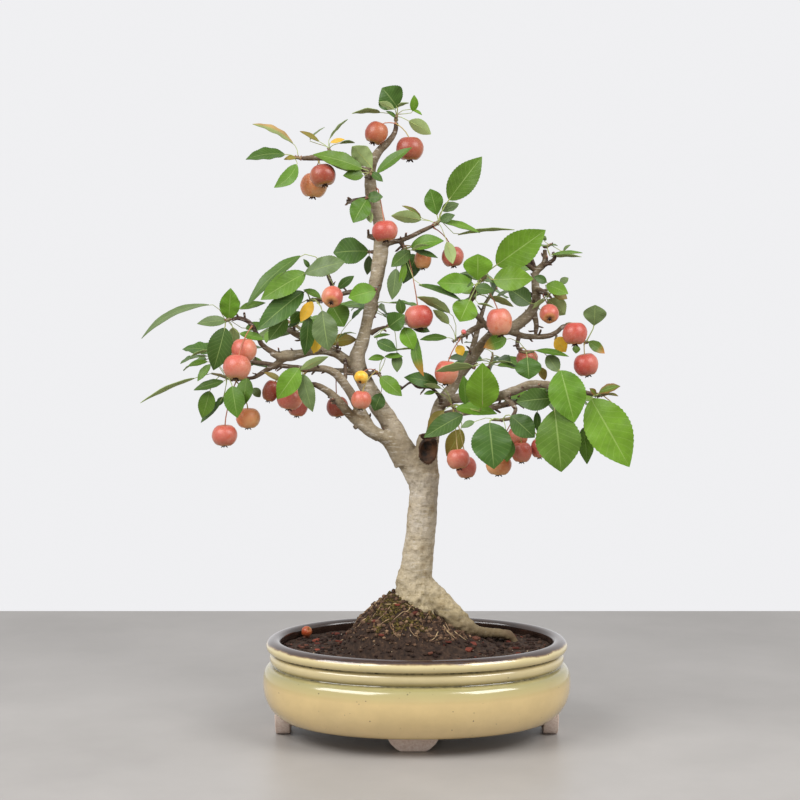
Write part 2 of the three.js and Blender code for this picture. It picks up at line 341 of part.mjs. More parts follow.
// ---------------------------------------------------------------------------------- closed meshes
const COLOURS = {
  glaze: [0xc9b37c, 0.25], soil: [0x3a2a20, 0.95], bark: [0x857866, 0.85], leaf: [0x4f7a34, 0.45],
  yellow: [0xd9a92e, 0.5], fruit: [0xc2503c, 0.35],
};

const UP = new THREE.Vector3(0, 0, 1);
const unit = (v) => v.clone().normalize();
const across = (a, b) => new THREE.Vector3().crossVectors(a, b);
const mix = (a, b, t) => a.clone().lerp(b, t);
const square = (v, along) => unit(v.clone().addScaledVector(along, -v.dot(along)));
const bow = (a, b, c, t) => mix(mix(a, b, t), mix(b, c, t), t);
const bezier = (a, b, c, d, t) => mix(bow(a, b, c, t), bow(b, c, d, t), t);
const around = (count, at) => Array.from({ length: count }, (_, k) => at((2 * Math.PI * k) / count));

function solid(vertices, triangles) {
  const vertProperties = new Float32Array(vertices.length * 3);
  vertices.forEach((v, i) => vertProperties.set([v.x, v.y, v.z], i * 3));
  return new Manifold(new Mesh({ numProp: 3, vertProperties, triVerts: new Uint32Array(triangles.flat()) }));
}

// Stitches rings of equal length into a closed body; a ring of one point is a pole.
function loft(rings) {
  const starts = [];
  let at = 0;
  for (const ring of rings) {
    starts.push(at);
    at += ring.length;
  }
  const triangles = [];
  for (let r = 0; r + 1 < rings.length; r++) {
    const [lower, upper] = [rings[r].length, rings[r + 1].length];
    const n = Math.max(lower, upper);
    for (let i = 0; i < n; i++) {
      const j = (i + 1) % n;
      const [a, b] = [starts[r] + (lower > 1 ? i : 0), starts[r] + (lower > 1 ? j : 0)];
      const [c, d] = [starts[r + 1] + (upper > 1 ? i : 0), starts[r + 1] + (upper > 1 ? j : 0)];
      if (lower > 1) triangles.push([a, b, upper > 1 ? d : c]);
      if (upper > 1) triangles.push([a, d, c]);
    }
  }
  for (const [ring, start, flip] of [[rings[0], starts[0], true], [rings.at(-1), starts.at(-1), false]])
    for (let i = 1; ring.length > 1 && i + 1 < ring.length; i++)
      triangles.push(flip ? [start, start + i + 1, start + i] : [start, start + i, start + i + 1]);
  return solid(rings.flat(), triangles);
}

// A tube along points, each with its radius; the first side is carried along without a twist.
function tube(points, radii, sides) {
  let side = null;
  return loft(points.map((p, i) => {
    const along = unit(points[Math.min(i + 1, points.length - 1)].clone().sub(points[Math.max(i - 1, 0)]));
    side = square(side ?? (Math.abs(along.z) < 0.9 ? UP : new THREE.Vector3(0, 1, 0)), along);
    const up = across(along, side);
    return around(sides, (turn) => p.clone().addScaledVector(side, radii[i] * Math.cos(turn))
      .addScaledVector(up, radii[i] * Math.sin(turn)));
  }));
}

// A stem of the skeleton, its stations on their sight lines; `extra` makes it that much larger all round.
function stem([sides, stations], depth = 1, extra = 0) {
  const points = stations.map(([x, z, y]) => place(x, z, y * depth));
  for (const [end, next] of [[points[0], points[1]], [points.at(-1), points.at(-2)]])
    end.addScaledVector(unit(end.clone().sub(next)), extra);
  return tube(points, stations.map((s) => s[3] + extra), sides);
}

// ---------------------------------------------------------------------------------- joining bodies
const cornersOf = ({ vertProperties, numProp }) => Array.from({ length: vertProperties.length / numProp },
  (_, i) => new THREE.Vector3(...vertProperties.subarray(i * numProp, i * numProp + 3)));
const keyOf = (v) => v.toArray().map((n) => n.toFixed(2)).join();

// Merges the corners that a join made into their neighbours, where every face about a corner passes within
// `slack` of the neighbour and none of them turns over.
function mergeCorners(body, made, slack) {
  const mesh = body.getMesh();
  const points = cornersOf(mesh);
  const corners = mesh.triVerts;
  const faces = Array.from({ length: corners.length / 3 }, (_, i) => [...corners.subarray(3 * i, 3 * i + 3)]);
  const touching = points.map(() => new Set());
  faces.forEach((face, i) => face.forEach((v) => touching[v].add(i)));
  const crossed = ([a, b, c]) => across(points[b].clone().sub(points[a]), points[c].clone().sub(points[a]));
  const ringOf = (v) => new Set([...touching[v]].flatMap((f) => faces[f]).filter((w) => w !== v));
  const moved = (face, v, u) => face.map((w) => (w === v ? u : w));
  const fits = (v, u) => {
    const shared = [...ringOf(v)].filter((w) => ringOf(u).has(w));
    if (shared.length !== 2) return false;
    return [...touching[v]].every((f) => {
      const before = crossed(faces[f]);
      if (Math.abs(unit(before).dot(points[u].clone().sub(points[v]))) > slack) return false;
      if (faces[f].includes(u)) return true;
      const after = crossed(moved(faces[f], v, u));
      return after.length() > LEAST_FACE && unit(after).dot(unit(before)) > MOST_TURN;
    });
  };
  let merged = 1;
  while (merged) {
    merged = 0;
    points.forEach((point, v) => {
      if (!touching[v].size || made.has(keyOf(point))) return;
      const near = [...ringOf(v)].sort((a, b) => points[a].distanceTo(point) - points[b].distanceTo(point));
      const u = near.find((w) => fits(v, w));
      if (u === undefined) return;
      for (const f of [...touching[v]]) {
        if (faces[f].includes(u)) {
          faces[f].forEach((w) => touching[w].delete(f));
        } else {
          faces[f] = moved(faces[f], v, u);
          touching[u].add(f);
        }
      }
      touching[v].clear();
      merged++;
    });
  }
  const kept = [...new Set(touching.flatMap((set) => [...set]))].map((f) => faces[f]);
  const used = [...new Set(kept.flat())];
  const renumbered = new Map(used.map((v, i) => [v, i]));
  return solid(used.map((v) => points[v]), kept.map((face) => face.map((v) => renumbered.get(v))));
}

// Joins overlapping bodies into one, without the fine faces and slivers of air that crossing stalks leave.
function join(bodies, slack = SLACK) {
  const made = new Set(bodies.flatMap((body) => cornersOf(body.getMesh()).map(keyOf)));
  const pieces = Manifold.union(bodies).simplify(TIDY).decompose();
  const whole = pieces.reduce((best, piece) => (piece.volume() > best.volume() ? piece : best));
  return mergeCorners(whole, made, slack);
}

// ---------------------------------------------------------------------------------- leaves
// Where a leaf's stalk leaves its shoot: half-way between the nearest place and its turn in the row.
function rootOn(points, p, turn) {
  const lengths = points.slice(1).map((q, i) => q.distanceTo(points[i]));
  const total = lengths.reduce((sum, length) => sum + length);
  let least = Infinity, nearest = 0, before = 0;
  lengths.forEach((length, i) => {
    const line = new THREE.Line3(points[i], points[i + 1]);
    const share = line.closestPointToPointParameter(p, true);
    const away = line.at(share, new THREE.Vector3()).distanceTo(p);
    if (away < least) [least, nearest] = [away, before + share * length];
    before += length;
  });
  let at = THREE.MathUtils.clamp((nearest + turn * total) / 2, END_CLEAR, total - END_CLEAR);
  let i = 0;
  while (i + 1 < lengths.length && at > lengths[i]) at -= lengths[i++];
  const centre = mix(points[i], points[i + 1], at / lengths[i]);
  return centre.addScaledVector(unit(p.clone().sub(centre)), SINK);
}

// The blade's frame: its axis, its upper face's normal and the side between them. An edge-on blade has its
// upper face up, and one that stands upright as well has it a little to the right.
function bladeFrame(base, tip, turn) {
  const axis = unit(tip.clone().sub(base));
  const seen = square(new THREE.Vector3(0, -1, 0), axis);
  const up = across(axis, seen);
  if (up.z + RIGHTWARD * up.x < 0) up.negate();
  const angle = THREE.MathUtils.degToRad(turn);
  const normal = seen.multiplyScalar(Math.cos(angle)).addScaledVector(up, Math.sin(angle));
  return { axis, normal, side: across(axis, normal) };
}

// Half-width of a leaf as a share of its greatest, at share s of its length; widest at `widest`.
function outline(s, widest) {
  const warped = Math.pow(s, Math.log(0.5) / Math.log(widest));
  return Math.pow(Math.sin(Math.PI * warped), BLUNT);
}

// One leaf with its stalk, from a row of the tables.
function leaf(points, order, [bx, bz, by, tx, tz, ty, width, ...form]) {
  const base = place(bx, bz, by);
  return leafBetween(rootOn(points, base, order), base, place(tx, tz, ty), width * spread(by), ...form);
}

// Rings of a stalk that runs along points and reaches its last one heading along `heading`: three corners
// each, two above and one below.
const STALK_SECTION = [[1, 0.5], [-1, 0.5], [0, -1]];
function stalkRings(points, heading, side) {
  let held = side;
  return points.map((_, i) => points.length - 1 - i).map((i) => {
    const arrive = i > 0 ? unit(points[i].clone().sub(points[i - 1])) : null;
    const leave = i + 1 < points.length ? unit(points[i + 1].clone().sub(points[i])) : heading;
    const along = arrive ? unit(arrive.add(leave)) : leave;
    held = square(held, along);
    const up = across(held, along);
    return STALK_SECTION.map(([u, v]) =>
      points[i].clone().addScaledVector(held, u * PETIOLE).addScaledVector(up, v * PETIOLE));
  }).reverse();
}

// Bodies of one leaf: a blade, folded along its midrib and arched, that opens from its stalk in one mesh.
// A blade close to the shoot sits on it without a stalk. A stalk that is short, or that must turn back, is a
// body of its own.
function leafBetween(root, base, tip, width, turn, arch = 1, sweep = 0, widest = 0.45) {
  const frame = { ...bladeFrame(base, tip, turn), tip, width, arch, sweep, widest };
  const reach = root.distanceTo(base);
  const rise = root.clone().addScaledVector(UP, reach * RISE);
  const enter = base.clone().addScaledVector(frame.axis, -reach * ENTER);
  const ahead = unit(base.clone().sub(root)).dot(frame.axis);
  const joined = reach > JOINED.reach && ahead > JOINED.ahead;
  if (reach < SITS.near || (reach < SITS.nearAhead && ahead > SITS.ahead))
    return [blade([root], { ...frame, base: root })];
  const shares = reach < LONG_STALK ? [0, 1] : [0, STALK_MIDDLE, 1];
  const path = joined ? shares.map((t) => bezier(root, rise, enter, base, t)) : [base];
  const bodies = [blade(path, { ...frame, base })];
  if (!joined) {
    const into = base.clone().addScaledVector(frame.axis, PETIOLE);
    const rings = stalkRings([root, into], unit(into.clone().sub(root)), frame.side);
    bodies.push(loft(rings.map((ring) => ring.reverse())));
  }
  return bodies;
}

// A narrow blade has four points a station, a wider one six, with the midrib lower than the margins.
function blade(path, { axis, normal, side, base, tip, width, arch, sweep, widest }) {
  const toothed = width > BIG_LEAF;
  const size = toothed ? "toothed" : width < TINY_LEAF ? "tiny" : width < MIDDLE_LEAF ? "middle" : "wide";
  const stations = STATIONS[size];
  const vertices = stalkRings(path, axis, side).flat(), triangles = [[0, 1, 2]];
  for (let i = 0; i + 3 < vertices.length; i += 3)
    for (let k = 0; k < 3; k++) {
      const [a, b] = [i + k, i + ((k + 1) % 3)];
      triangles.push([a, a + 3, b + 3], [a, b + 3, b]);
    }
  const first = vertices.length;
  const columns = width < SMALL_LEAF ? [1, -1] : [1, 0, -1];
  const n = columns.length, count = 2 * n;
  for (let i = 1; i < stations; i++) {
    const s = i / stations, bulge = 4 * s * (1 - s);
    const along = unit(tip.clone().sub(base).addScaledVector(normal, 4 * arch * (1 - 2 * s)));
    const face = across(side, along);
    const mid = mix(base, tip, s).addScaledVector(normal, arch * bulge).addScaledVector(side, sweep * bulge);
    const half = (width / 2) * outline(s, widest) * (toothed ? TEETH[i % 2] : 1);
    const edges = columns.map((k) =>
      mid.clone().addScaledVector(side, k * half).addScaledVector(face, Math.abs(k) * half * FOLD));
    vertices.push(...edges.map((p) => p.clone().addScaledVector(face, BLADE / 2)));
    vertices.push(...edges.reverse().map((p) => p.clone().addScaledVector(face, -BLADE / 2)));
  }
  const last = vertices.length;
  vertices.push(...[BLADE / 2, -BLADE / 2].map((rise) => tip.clone().addScaledVector(normal, rise)));
  // The stalk's last ring [right, left, lower] opens into the first station.
  const [r, l, d] = [first - 3, first - 2, first - 1];
  const at = (k) => first + ((k + count) % count);
  triangles.push([r, at(0), at(1)], [r, at(1), l], [l, at(n - 1), at(n)], [l, at(n), d],
    [d, at(n), at(n + 1)], [d, at(-1), r], [r, at(-1), at(0)]);
  if (n === 3) triangles.push([l, at(1), at(2)], [d, at(4), at(5)]);
  // Both faces of the blade are cut along the same diagonals.
  for (let i = first; i + count < last; i += count)
    for (let k = 0; k < count; k++) {
      const [p, q] = [i + k, i + ((k + 1) % count)];
      const [pNext, qNext] = [p + count, q + count];
      const other = n === 3 && (k === 1 || k === 4);
      if (other) triangles.push([p, pNext, q], [q, pNext, qNext]);
      else triangles.push([p, pNext, qNext], [p, qNext, q]);
    }
  const end = (k) => last - count + k;
  for (let k = 0; k + 1 < n; k++)
    triangles.push([end(k), last, end(k + 1)], [end(n + k), last + 1, end(n + k + 1)]);
  triangles.push([end(n - 1), last, last + 1], [end(n - 1), last + 1, end(n)],
    [end(count - 1), last + 1, last], [end(count - 1), last, end(0)]);
  return solid(vertices, triangles);
}

function leafyShoot(stations, makeLeaves) {
  const points = stations.map(([x, z, y]) => place(x, z, y));
  return join([tube(points, stations.map((s) => s[3]), 4), ...makeLeaves(points).flat()]);
}

// Seeded draws from 0 to 1: a linear congruential generator in whole numbers.
const LCG = { factor: 1103515245n, step: 12345n, size: 2147483648n };
function draws(seed) {
  let state = BigInt(seed);
  return () => {
    state = (state * LCG.factor + LCG.step) % LCG.size;
    return Number(state) / Number(LCG.size);
  };
}

// Leaves in a spiral along the shoot. Each pair is a least value and a range above it, drawn for each leaf;
// the length is a share of the shoot's reach, and the width and the droop are shares of the length.
const SPIRAL = {
  golden: 137.5, heading: [0, 40], lift: [-0.35, 0.9], length: [0.6, 0.4], stalk: [8, 8], width: [0.42, 0.14],
  turn: [55, 30], droop: 0.2, arch: 2.5,
};
function spiralLeaves(points, seed, count, reach) {
  const next = draws(seed);
  const draw = ([least, range]) => least + range * next();
  return Array.from({ length: count }, (_, i) => {
    const s = (i + 0.5) / count;
    const root = bezier(points[0], points[1], points[1], points[2], s);
    const heading = THREE.MathUtils.degToRad(SPIRAL.golden * i + draw(SPIRAL.heading));
    const out = unit(new THREE.Vector3(Math.cos(heading), Math.sin(heading), draw(SPIRAL.lift)));
    const length = reach * draw(SPIRAL.length);
    const base = root.addScaledVector(out, draw(SPIRAL.stalk));
    const tip = base.clone().addScaledVector(out, length).addScaledVector(UP, -length * SPIRAL.droop);
    const width = length * draw(SPIRAL.width);
    return leafBetween(rootOn(points, base, s), base, tip, width, draw(SPIRAL.turn), SPIRAL.arch);
  });
}

// ---------------------------------------------------------------------------------- fruit
// Half of a crabapple's section, as [share of the radius, share of the half-height], from the hollow of the
// calyx round the flesh to the hollow of the stalk; then the tip of the dry calyx, the bottom of the stalk's
// hollow, where the stalk ends in the flesh, and its head where it hangs from nothing.
const FRUIT_SECTION = [[0.2, -0.84], [0.7, -0.86], [1.03, -0.02], [0.84, 0.68], [0.38, 0.98]];
const FRUIT_LEVELS = { calyx: -1.06, dip: 0.72, stalkEnd: 0.57, loose: 1.5 };
const STALK_PULL = 0.4; // a fruit stalk enters its apple along the axis for this share of its length,
const STALK_RISE = 0.04; // leaves its spur upwards for this one,
const STALK_BEND = 0.45; // and is bent here

function oneFruit([x, z, y, size, height, ax, az, ay], from) {
  const centre = place(x, z, y);
  const [radius, half] = [size * spread(y), height * spread(y)];
  const axis = unit(new THREE.Vector3(ax, ay, az));
  const side = unit(across(axis, new THREE.Vector3(0.2, 1, 0.1)));
  const other = across(axis, side);
  const level = (h) => centre.clone().addScaledVector(axis, half * h);
  const ring = ([r, h]) => around(FRUIT_SIDES, (turn) => level(h)
    .addScaledVector(side, radius * r * Math.cos(turn)).addScaledVector(other, radius * r * Math.sin(turn)));
  const body = loft([[level(FRUIT_LEVELS.calyx)], ...FRUIT_SECTION.map(ring), [level(FRUIT_LEVELS.dip)]]);
  const foot = level(FRUIT_LEVELS.stalkEnd);
  const head = from ?? level(FRUIT_LEVELS.loose);
  const length = head.distanceTo(foot);
  const leave = from ? head.clone().addScaledVector(UP, STALK_RISE * length) : head;
  const enter = foot.clone().addScaledVector(axis, STALK_PULL * length);
  const steps = [0, STALK_BEND, 1].map((t) => bezier(head, leave, enter, foot, t));
  return join([body, tube(steps, steps.map(() => STALK), 3)]);
}

// The stems that a fruit stalk can leave: where their stations are, and their radii.
const STEMS = [
  ...WOOD.map(([, stations]) => stations.map(([x, z, y, radius]) => [x, z, y * CROWN_DEPTH, radius])),
  ...SHOOTS.map(([, stations]) => deepen(stations, stations[0][2])),
].map((stations) => stations.map(([x, z, y, radius]) => ({ at: place(x, z, y), radius })));

// The place beside the nearest stem, on the side of p, where a stalk's end clears the bark.
function besideStem(p) {
  let least = Infinity, spot = null;
  for (const stations of STEMS)
    for (let i = 0; i + 1 < stations.length; i++) {
      const [from, to] = [stations[i], stations[i + 1]];
      const line = new THREE.Line3(from.at, to.at);
      const share = line.closestPointToPointParameter(p, true);
      const near = line.at(share, new THREE.Vector3());
      const radius = THREE.MathUtils.lerp(from.radius, to.radius, share);
      const away = near.distanceTo(p) - radius;
      const clear = unit(p.clone().sub(near)).multiplyScalar(radius + GAP + STALK);
      if (away < least) [least, spot] = [away, near.add(clear)];
    }
  return spot;
}

function fruitBunch(junction, rows) {
  if (!junction) return oneFruit(rows[0]);
  const from = besideStem(place(...deepen([junction], junction[2])[0]));
  return join(deepen(rows, junction[2]).map((row) => oneFruit(row, from)));
}

// ---------------------------------------------------------------------------------- pot, soil
function ovalPoint(a, b, turn) {
  const stretch = (share) => Math.sign(share) * Math.pow(Math.abs(share), 2 / OVAL_POWER);
  return [a * stretch(Math.cos(turn)), b * stretch(Math.sin(turn))];
}

const ovalRing = (inset, z) => around(POT_SIDES, (turn) =>
  new THREE.Vector3(...ovalPoint(POT.a - inset, POT.b - inset, turn + Math.PI / POT_SIDES), z));

// The wall as [inset from the rim's outline, level]: up the belly to its full shoulder, over the ridge between
// two grooves, over the rolled lip, and down the inside.
const POT_OUTSIDE = [
  [27, POT.bottom], [14, 18.5], [4, 26], [-1.6, 36], [-4.1, 50], [-3.8, 61], [-1.4, 68], [6, 71.6],
  [2.9, 75.5], [2.9, 80.5], [5.8, 84.4], [0.4, 86.4], [-0.8, 90.5], [1.6, 95.5], [7.5, POT.height],
  [12, 96.8], [LIP, 93],
];
const POT_INSIDE = [[9, 72], [6, 46], [20, 30]];

// The feet: each one's turn, x and y; and half of a foot's outline as [half-width, level].
const FEET = [[0, -4, -73], [0, 0, 73], [Math.PI / 2, 136, 4], [Math.PI / 2, -136, 4]];
const FOOT_EDGE = [[30, POT.bottom + 8], [23, 9], [15, 2.5], [12, 0]];

function footSolid([turn, x, y]) {
  const edge = [...FOOT_EDGE.map(([u, v]) => [-u, v]), ...FOOT_EDGE.toReversed()];
  const ring = (level) => edge.map(([u, v]) => new THREE.Vector3(u, level, v).applyAxisAngle(UP, turn)
    .add(new THREE.Vector3(x, y, 0)));
  return loft([ring(FOOT_THICK / 2), ring(-FOOT_THICK / 2)]);
}

function makePot() {
  const wall = [...POT_OUTSIDE, ...POT_INSIDE].map(([inset, z]) => ovalRing(inset, z));
  const body = loft([[new THREE.Vector3(0, 0, POT.bottom)], ...wall, [new THREE.Vector3(0, 0, POT.floor)]]);
  const holes = [-HOLE.x, HOLE.x].map((x) =>
    tube([new THREE.Vector3(x, 0, 0), new THREE.Vector3(x, 0, HOLE.top)], [HOLE.radius, HOLE.radius], 16));
  return join([body, ...FEET.map(footSolid)]).subtract(Manifold.union(holes));
}

// Level of the soil over the plan: a mound round the trunk with a rough surface. It is a round heap on the
// left and falls away under the big root on the right, and turns from one to the other round the trunk.
function soilLevel(x, y, rough) {
  const u = (x - MOUND.x) / (x < MOUND.x ? MOUND.left : MOUND.right);
  const reach = Math.hypot(u, y / MOUND.depth);
  const away = Math.min(reach, 1);
  const rightward = (1 + u / reach) / 2;
  const [round, hollow] = [1 - Math.pow(away, MOUND_CURVE.left), Math.pow(1 - away, MOUND_CURVE.right)];
  const rise = THREE.MathUtils.lerp(round, hollow, rightward) * (MOUND_TOP - SOIL_EDGE);
  return SOIL_EDGE + rise + (rough - 0.5) * (ROUGHNESS.flat + rise * ROUGHNESS.rise);
}

// The soil fills the pot's inside; the rings of its surface are [inset from the rim's outline].
const SOIL_RINGS = [LIP, 34, 60, 78, 98, 108];
const SOIL_SEED = 5;

function makeSoil(trunk) {
  const draw = draws(SOIL_SEED);
  const middle = (z) => [new THREE.Vector3(0, 0, z)];
  const below = POT_INSIDE.toReversed().map(([inset, z]) => ovalRing(inset + GAP, z + GAP));
  const surface = SOIL_RINGS.map((inset) =>
    ovalRing(inset, 0).map((p) => p.setZ(soilLevel(p.x, p.y, draw()))));
  return loft([middle(POT.floor + GAP), ...below, ...surface, middle(MOUND_TOP)]).subtract(trunk);
}

// ---------------------------------------------------------------------------------- wood
// The pruned stump's top is hollow: a cup, as [offset from the top, radius] of its mouth and its bottom.
const STUMP_TOP = [12, 303, -9];
const CUP = [[new THREE.Vector3(0, -4, 6), 8.5], [new THREE.Vector3(-1, 4, -14), 5]];

function makeWood() {
  const [x, z, y] = STUMP_TOP;
  const mouth = place(x, z, y * CROWN_DEPTH);
  const cup = tube(CUP.map(([offset]) => mouth.clone().add(offset)), CUP.map(([, radius]) => radius), 8);
  const stems = [...WOOD.map((row) => stem(row, CROWN_DEPTH)), ...ROOTS.map((row) => stem(row))];
  return join(stems, BARK_SLACK).subtract(cup);
}

// ---------------------------------------------------------------------------------- the assembly
const root = new THREE.Group();

function add(name, body, kind) {
  const mesh = body.getMesh();
  const geometry = new THREE.BufferGeometry();
  geometry.setAttribute("position", new THREE.BufferAttribute(new Float32Array(mesh.vertProperties), 3));
  geometry.setIndex(new THREE.BufferAttribute(new Uint32Array(mesh.triVerts), 1));
  geometry.computeVertexNormals();
  const [color, roughness] = COLOURS[kind];
  const made = new THREE.Mesh(geometry, new THREE.MeshStandardMaterial({ color, roughness, metalness: 0 }));
  made.name = name;
  root.add(made);
}

add("pot", makePot(), "glaze");
add("soil", makeSoil(join([WOOD[0], ...ROOTS].map((row) => stem(row, 1, GAP + BARK_SLACK)))), "soil");
add("trunk_and_branches", makeWood(), "bark");
for (const [name, stations, rows] of SHOOTS) {
  const from = stations[0][2];
  const leaves = rows.map((row) =>
    [...deepen([row.slice(0, 3), row.slice(3, 6)], from).flat(), ...row.slice(6)]);
  const yellow = name.startsWith("yellow");
  add(yellow ? name : "shoot_" + name, leafyShoot(deepen(stations, from), (points) =>
    leaves.map((row, i) => leaf(points, (i + 0.5) / rows.length, row))), yellow ? "yellow" : "leaf");
}
for (const [name, stations, seed, count, reach] of BACK_SHOOTS)
  add("shoot_" + name, leafyShoot(deepen(stations, stations[0][2]), (points) =>
    spiralLeaves(points, seed, count, reach)), "leaf");
for (const [name, junction, rows] of FRUIT) add("fruit_" + name, fruitBunch(junction, rows), "fruit");

// The object's base centre is the origin.
const box = new THREE.Box3().setFromObject(root);
root.position.set(-(box.min.x + box.max.x) / 2, -(box.min.y + box.max.y) / 2, -box.min.z);

export default root;
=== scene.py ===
# %% [markdown]
# # A crabapple bonsai
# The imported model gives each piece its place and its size: the pot, the soil, the wood, thirty-four leafy
# shoots, two single yellow leaves and twenty-one bunches of fruit. This notebook dresses them. Each coarse
# piece is replaced by a finer one in the same place, made from a few simple shapes, and each gets a finish.

# %% The frame
import math
import random

import bmesh
import bpy
import numpy as np
from mathutils import Matrix, Vector, kdtree, noise


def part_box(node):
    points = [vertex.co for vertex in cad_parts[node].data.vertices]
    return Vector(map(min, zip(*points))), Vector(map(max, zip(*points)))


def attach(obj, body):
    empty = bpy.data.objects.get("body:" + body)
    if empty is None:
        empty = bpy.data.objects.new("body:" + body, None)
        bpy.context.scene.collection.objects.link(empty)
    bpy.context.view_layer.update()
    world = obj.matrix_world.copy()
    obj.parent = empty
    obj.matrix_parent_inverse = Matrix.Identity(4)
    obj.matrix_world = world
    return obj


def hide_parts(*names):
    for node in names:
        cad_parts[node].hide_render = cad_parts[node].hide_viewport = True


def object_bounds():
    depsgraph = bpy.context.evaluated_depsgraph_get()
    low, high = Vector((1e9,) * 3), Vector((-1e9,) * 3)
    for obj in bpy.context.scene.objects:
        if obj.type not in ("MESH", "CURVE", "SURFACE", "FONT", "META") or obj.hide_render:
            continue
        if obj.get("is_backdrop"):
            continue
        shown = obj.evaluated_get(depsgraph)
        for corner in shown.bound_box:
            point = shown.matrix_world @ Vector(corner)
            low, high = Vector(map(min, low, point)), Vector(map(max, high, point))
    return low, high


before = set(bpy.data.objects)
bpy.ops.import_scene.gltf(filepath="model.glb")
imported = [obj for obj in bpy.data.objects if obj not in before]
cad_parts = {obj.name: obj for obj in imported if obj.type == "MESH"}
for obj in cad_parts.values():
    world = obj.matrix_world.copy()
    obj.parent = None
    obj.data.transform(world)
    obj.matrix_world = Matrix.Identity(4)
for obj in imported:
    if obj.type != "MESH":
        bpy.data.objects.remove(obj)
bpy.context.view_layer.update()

# %% [markdown]
# ## Units and the eye
# Blender works in metres, and plants and pots are drawn in millimetres, so every size below is a number of
# millimetres times MM. Heights start at the table. Left, right and depth start at the middle of the pot.
# The crown was drawn as it is seen from one place, the eye. A point is given by where it seems to be, x and
# z, and by its depth y, and place() slides it along the line of sight to that depth.

# %% Units, and points on lines of sight
MM = 0.001
pot_low, pot_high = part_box("pot")
MIDDLE = Vector(((pot_low.x + pot_high.x) / 2, (pot_low.y + pot_high.y) / 2, 0))
EYE = Vector((-17, -2000, 500))
CROWN_DEPTH = 1.7  # the crown is this many times as deep as its table says


def spread(y):
    """How many times its seen size a thing at depth y really is."""
    return 1 - y / EYE.y


def place(x, z, y):
    """The point in metres that is seen at (x, z) and lies at depth y, all in millimetres."""
    seen = Vector((EYE.x + (x - EYE.x) * spread(y), y, EYE.z + (z - EYE.z) * spread(y)))
    return MIDDLE + seen * MM


def deepen(rows, start):
    """Rows that begin with x, z, y, moved back or forward with the wood that bears them."""
    return [[x, z, y + (CROWN_DEPTH - 1) * start, *rest] for x, z, y, *rest in rows]


print("middle of the pot", [round(v, 4) for v in MIDDLE])

# %% [markdown]
# ## The camera
# It stands at the eye and looks a little down. A long lens keeps the pot's oval and the deep crown in
# natural proportion: from two metres away nothing near looks much bigger than what is behind it.

# %% Camera
LOOK_DOWN = 4.57  # degrees
SENSOR = 36.0
FOCAL_PIXELS = 1990.0  # of an image 800 pixels wide
IMAGE_WIDTH = 800

bpy.ops.object.camera_add(location=MIDDLE + EYE * MM, rotation=(math.radians(90 - LOOK_DOWN), 0, 0))
camera = bpy.context.object
camera.data.sensor_width = SENSOR
camera.data.lens = SENSOR * FOCAL_PIXELS / IMAGE_WIDTH
camera.data.clip_start, camera.data.clip_end = 0.05, 50
bpy.context.scene.camera = camera

# %% [markdown]
# ## A node helper and colours
# A material is a small graph. One helper adds a node, sets its properties and its inputs, and links an input
# where it is given another node's output. Colours are written as on paint charts, in sRGB hex, and the
# renderer wants them linear. The plainer surfaces are alike in how they are made: a grain decides between a
# few tones, and may also stand out as relief.

# %% Helpers for materials
def linear(shade):
    """An sRGB hex colour, such as "8f8270", as linear red, green, blue, alpha."""
    parts = [int(shade[i:i + 2], 16) / 255 for i in (0, 2, 4)]
    return (*[c / 12.92 if c <= 0.04045 else ((c + 0.055) / 1.055) ** 2.4 for c in parts], 1.0)


def put(tree, kind, inputs=None, stops=None, **settings):
    """Adds a node. An input is a value or the socket that feeds it; stops are a colour ramp's."""
    made = tree.nodes.new("ShaderNode" + kind)
    for name, value in settings.items():
        setattr(made, name, value)
    for name, value in (inputs or {}).items():
        if isinstance(value, bpy.types.NodeSocket):
            tree.links.new(value, made.inputs[name])
        else:
            made.inputs[name].default_value = value
    if stops:
        elements = made.color_ramp.elements
        while len(elements) < len(stops):
            elements.new(1)
        for element, (at, shade) in zip(elements, stops):
            element.position = at
            element.color = linear(shade) if isinstance(shade, str) else (shade, shade, shade, 1)
    return made


def begin_material(name, **sockets):
    """An empty material's tree and its shader, with the values that are the same all over."""
    material = bpy.data.materials.new(name)
    material.use_nodes = True
    shader = material.node_tree.nodes["Principled BSDF"]
    for socket, value in sockets.items():
        shader.inputs[socket.replace("_", " ")].default_value = value
    return material, material.node_tree, shader


def grained(name, scale, detail, rough, ramp, tinted=False, bump=None, **sockets):
    """A material whose grain decides between tones or, where it is tinted, shades the painted colour.

    A bump is given by its strength and its depth in millimetres.
    """
    made, tree, shader = begin_material(name, **sockets)
    coords = put(tree, "TexCoord").outputs["Object"]
    grain = put(tree, "TexNoise", {"Vector": coords, "Scale": scale, "Detail": detail, "Roughness": rough})
    tone = put(tree, "ValToRGB", {"Fac": grain.outputs["Fac"]}, stops=ramp).outputs["Color"]
    if tinted:
        own = put(tree, "Attribute", attribute_name="tint").outputs["Color"]
        tone = put(tree, "Mix", {0: 1.0, 6: own, 7: tone}, data_type="RGBA", blend_type="MULTIPLY").outputs[2]
    tree.links.new(tone, shader.inputs["Base Color"])
    if bump:
        height = {"Height": grain.outputs["Fac"], "Strength": bump[0], "Distance": bump[1] * MM}
        tree.links.new(put(tree, "Bump", height).outputs["Normal"], shader.inputs["Normal"])
    return made


# %% [markdown]
# ## Objects by hand
# Operators act on all that is selected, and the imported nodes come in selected, so each step first lets go of
# everything. hold() takes one object, and pick() selects parts of its mesh by place. done() makes an object a
# finished piece: its place goes into its mesh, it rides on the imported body, and it stands for the nodes that
# it replaces.

# %% Helpers for modelling
EDGE, VERT = "EDGE", "VERT"


def let_go():
    """Leaves edit mode and selects nothing."""
    if bpy.context.mode != "OBJECT":
        bpy.ops.object.mode_set(mode="OBJECT")
    bpy.ops.object.select_all(action="DESELECT")


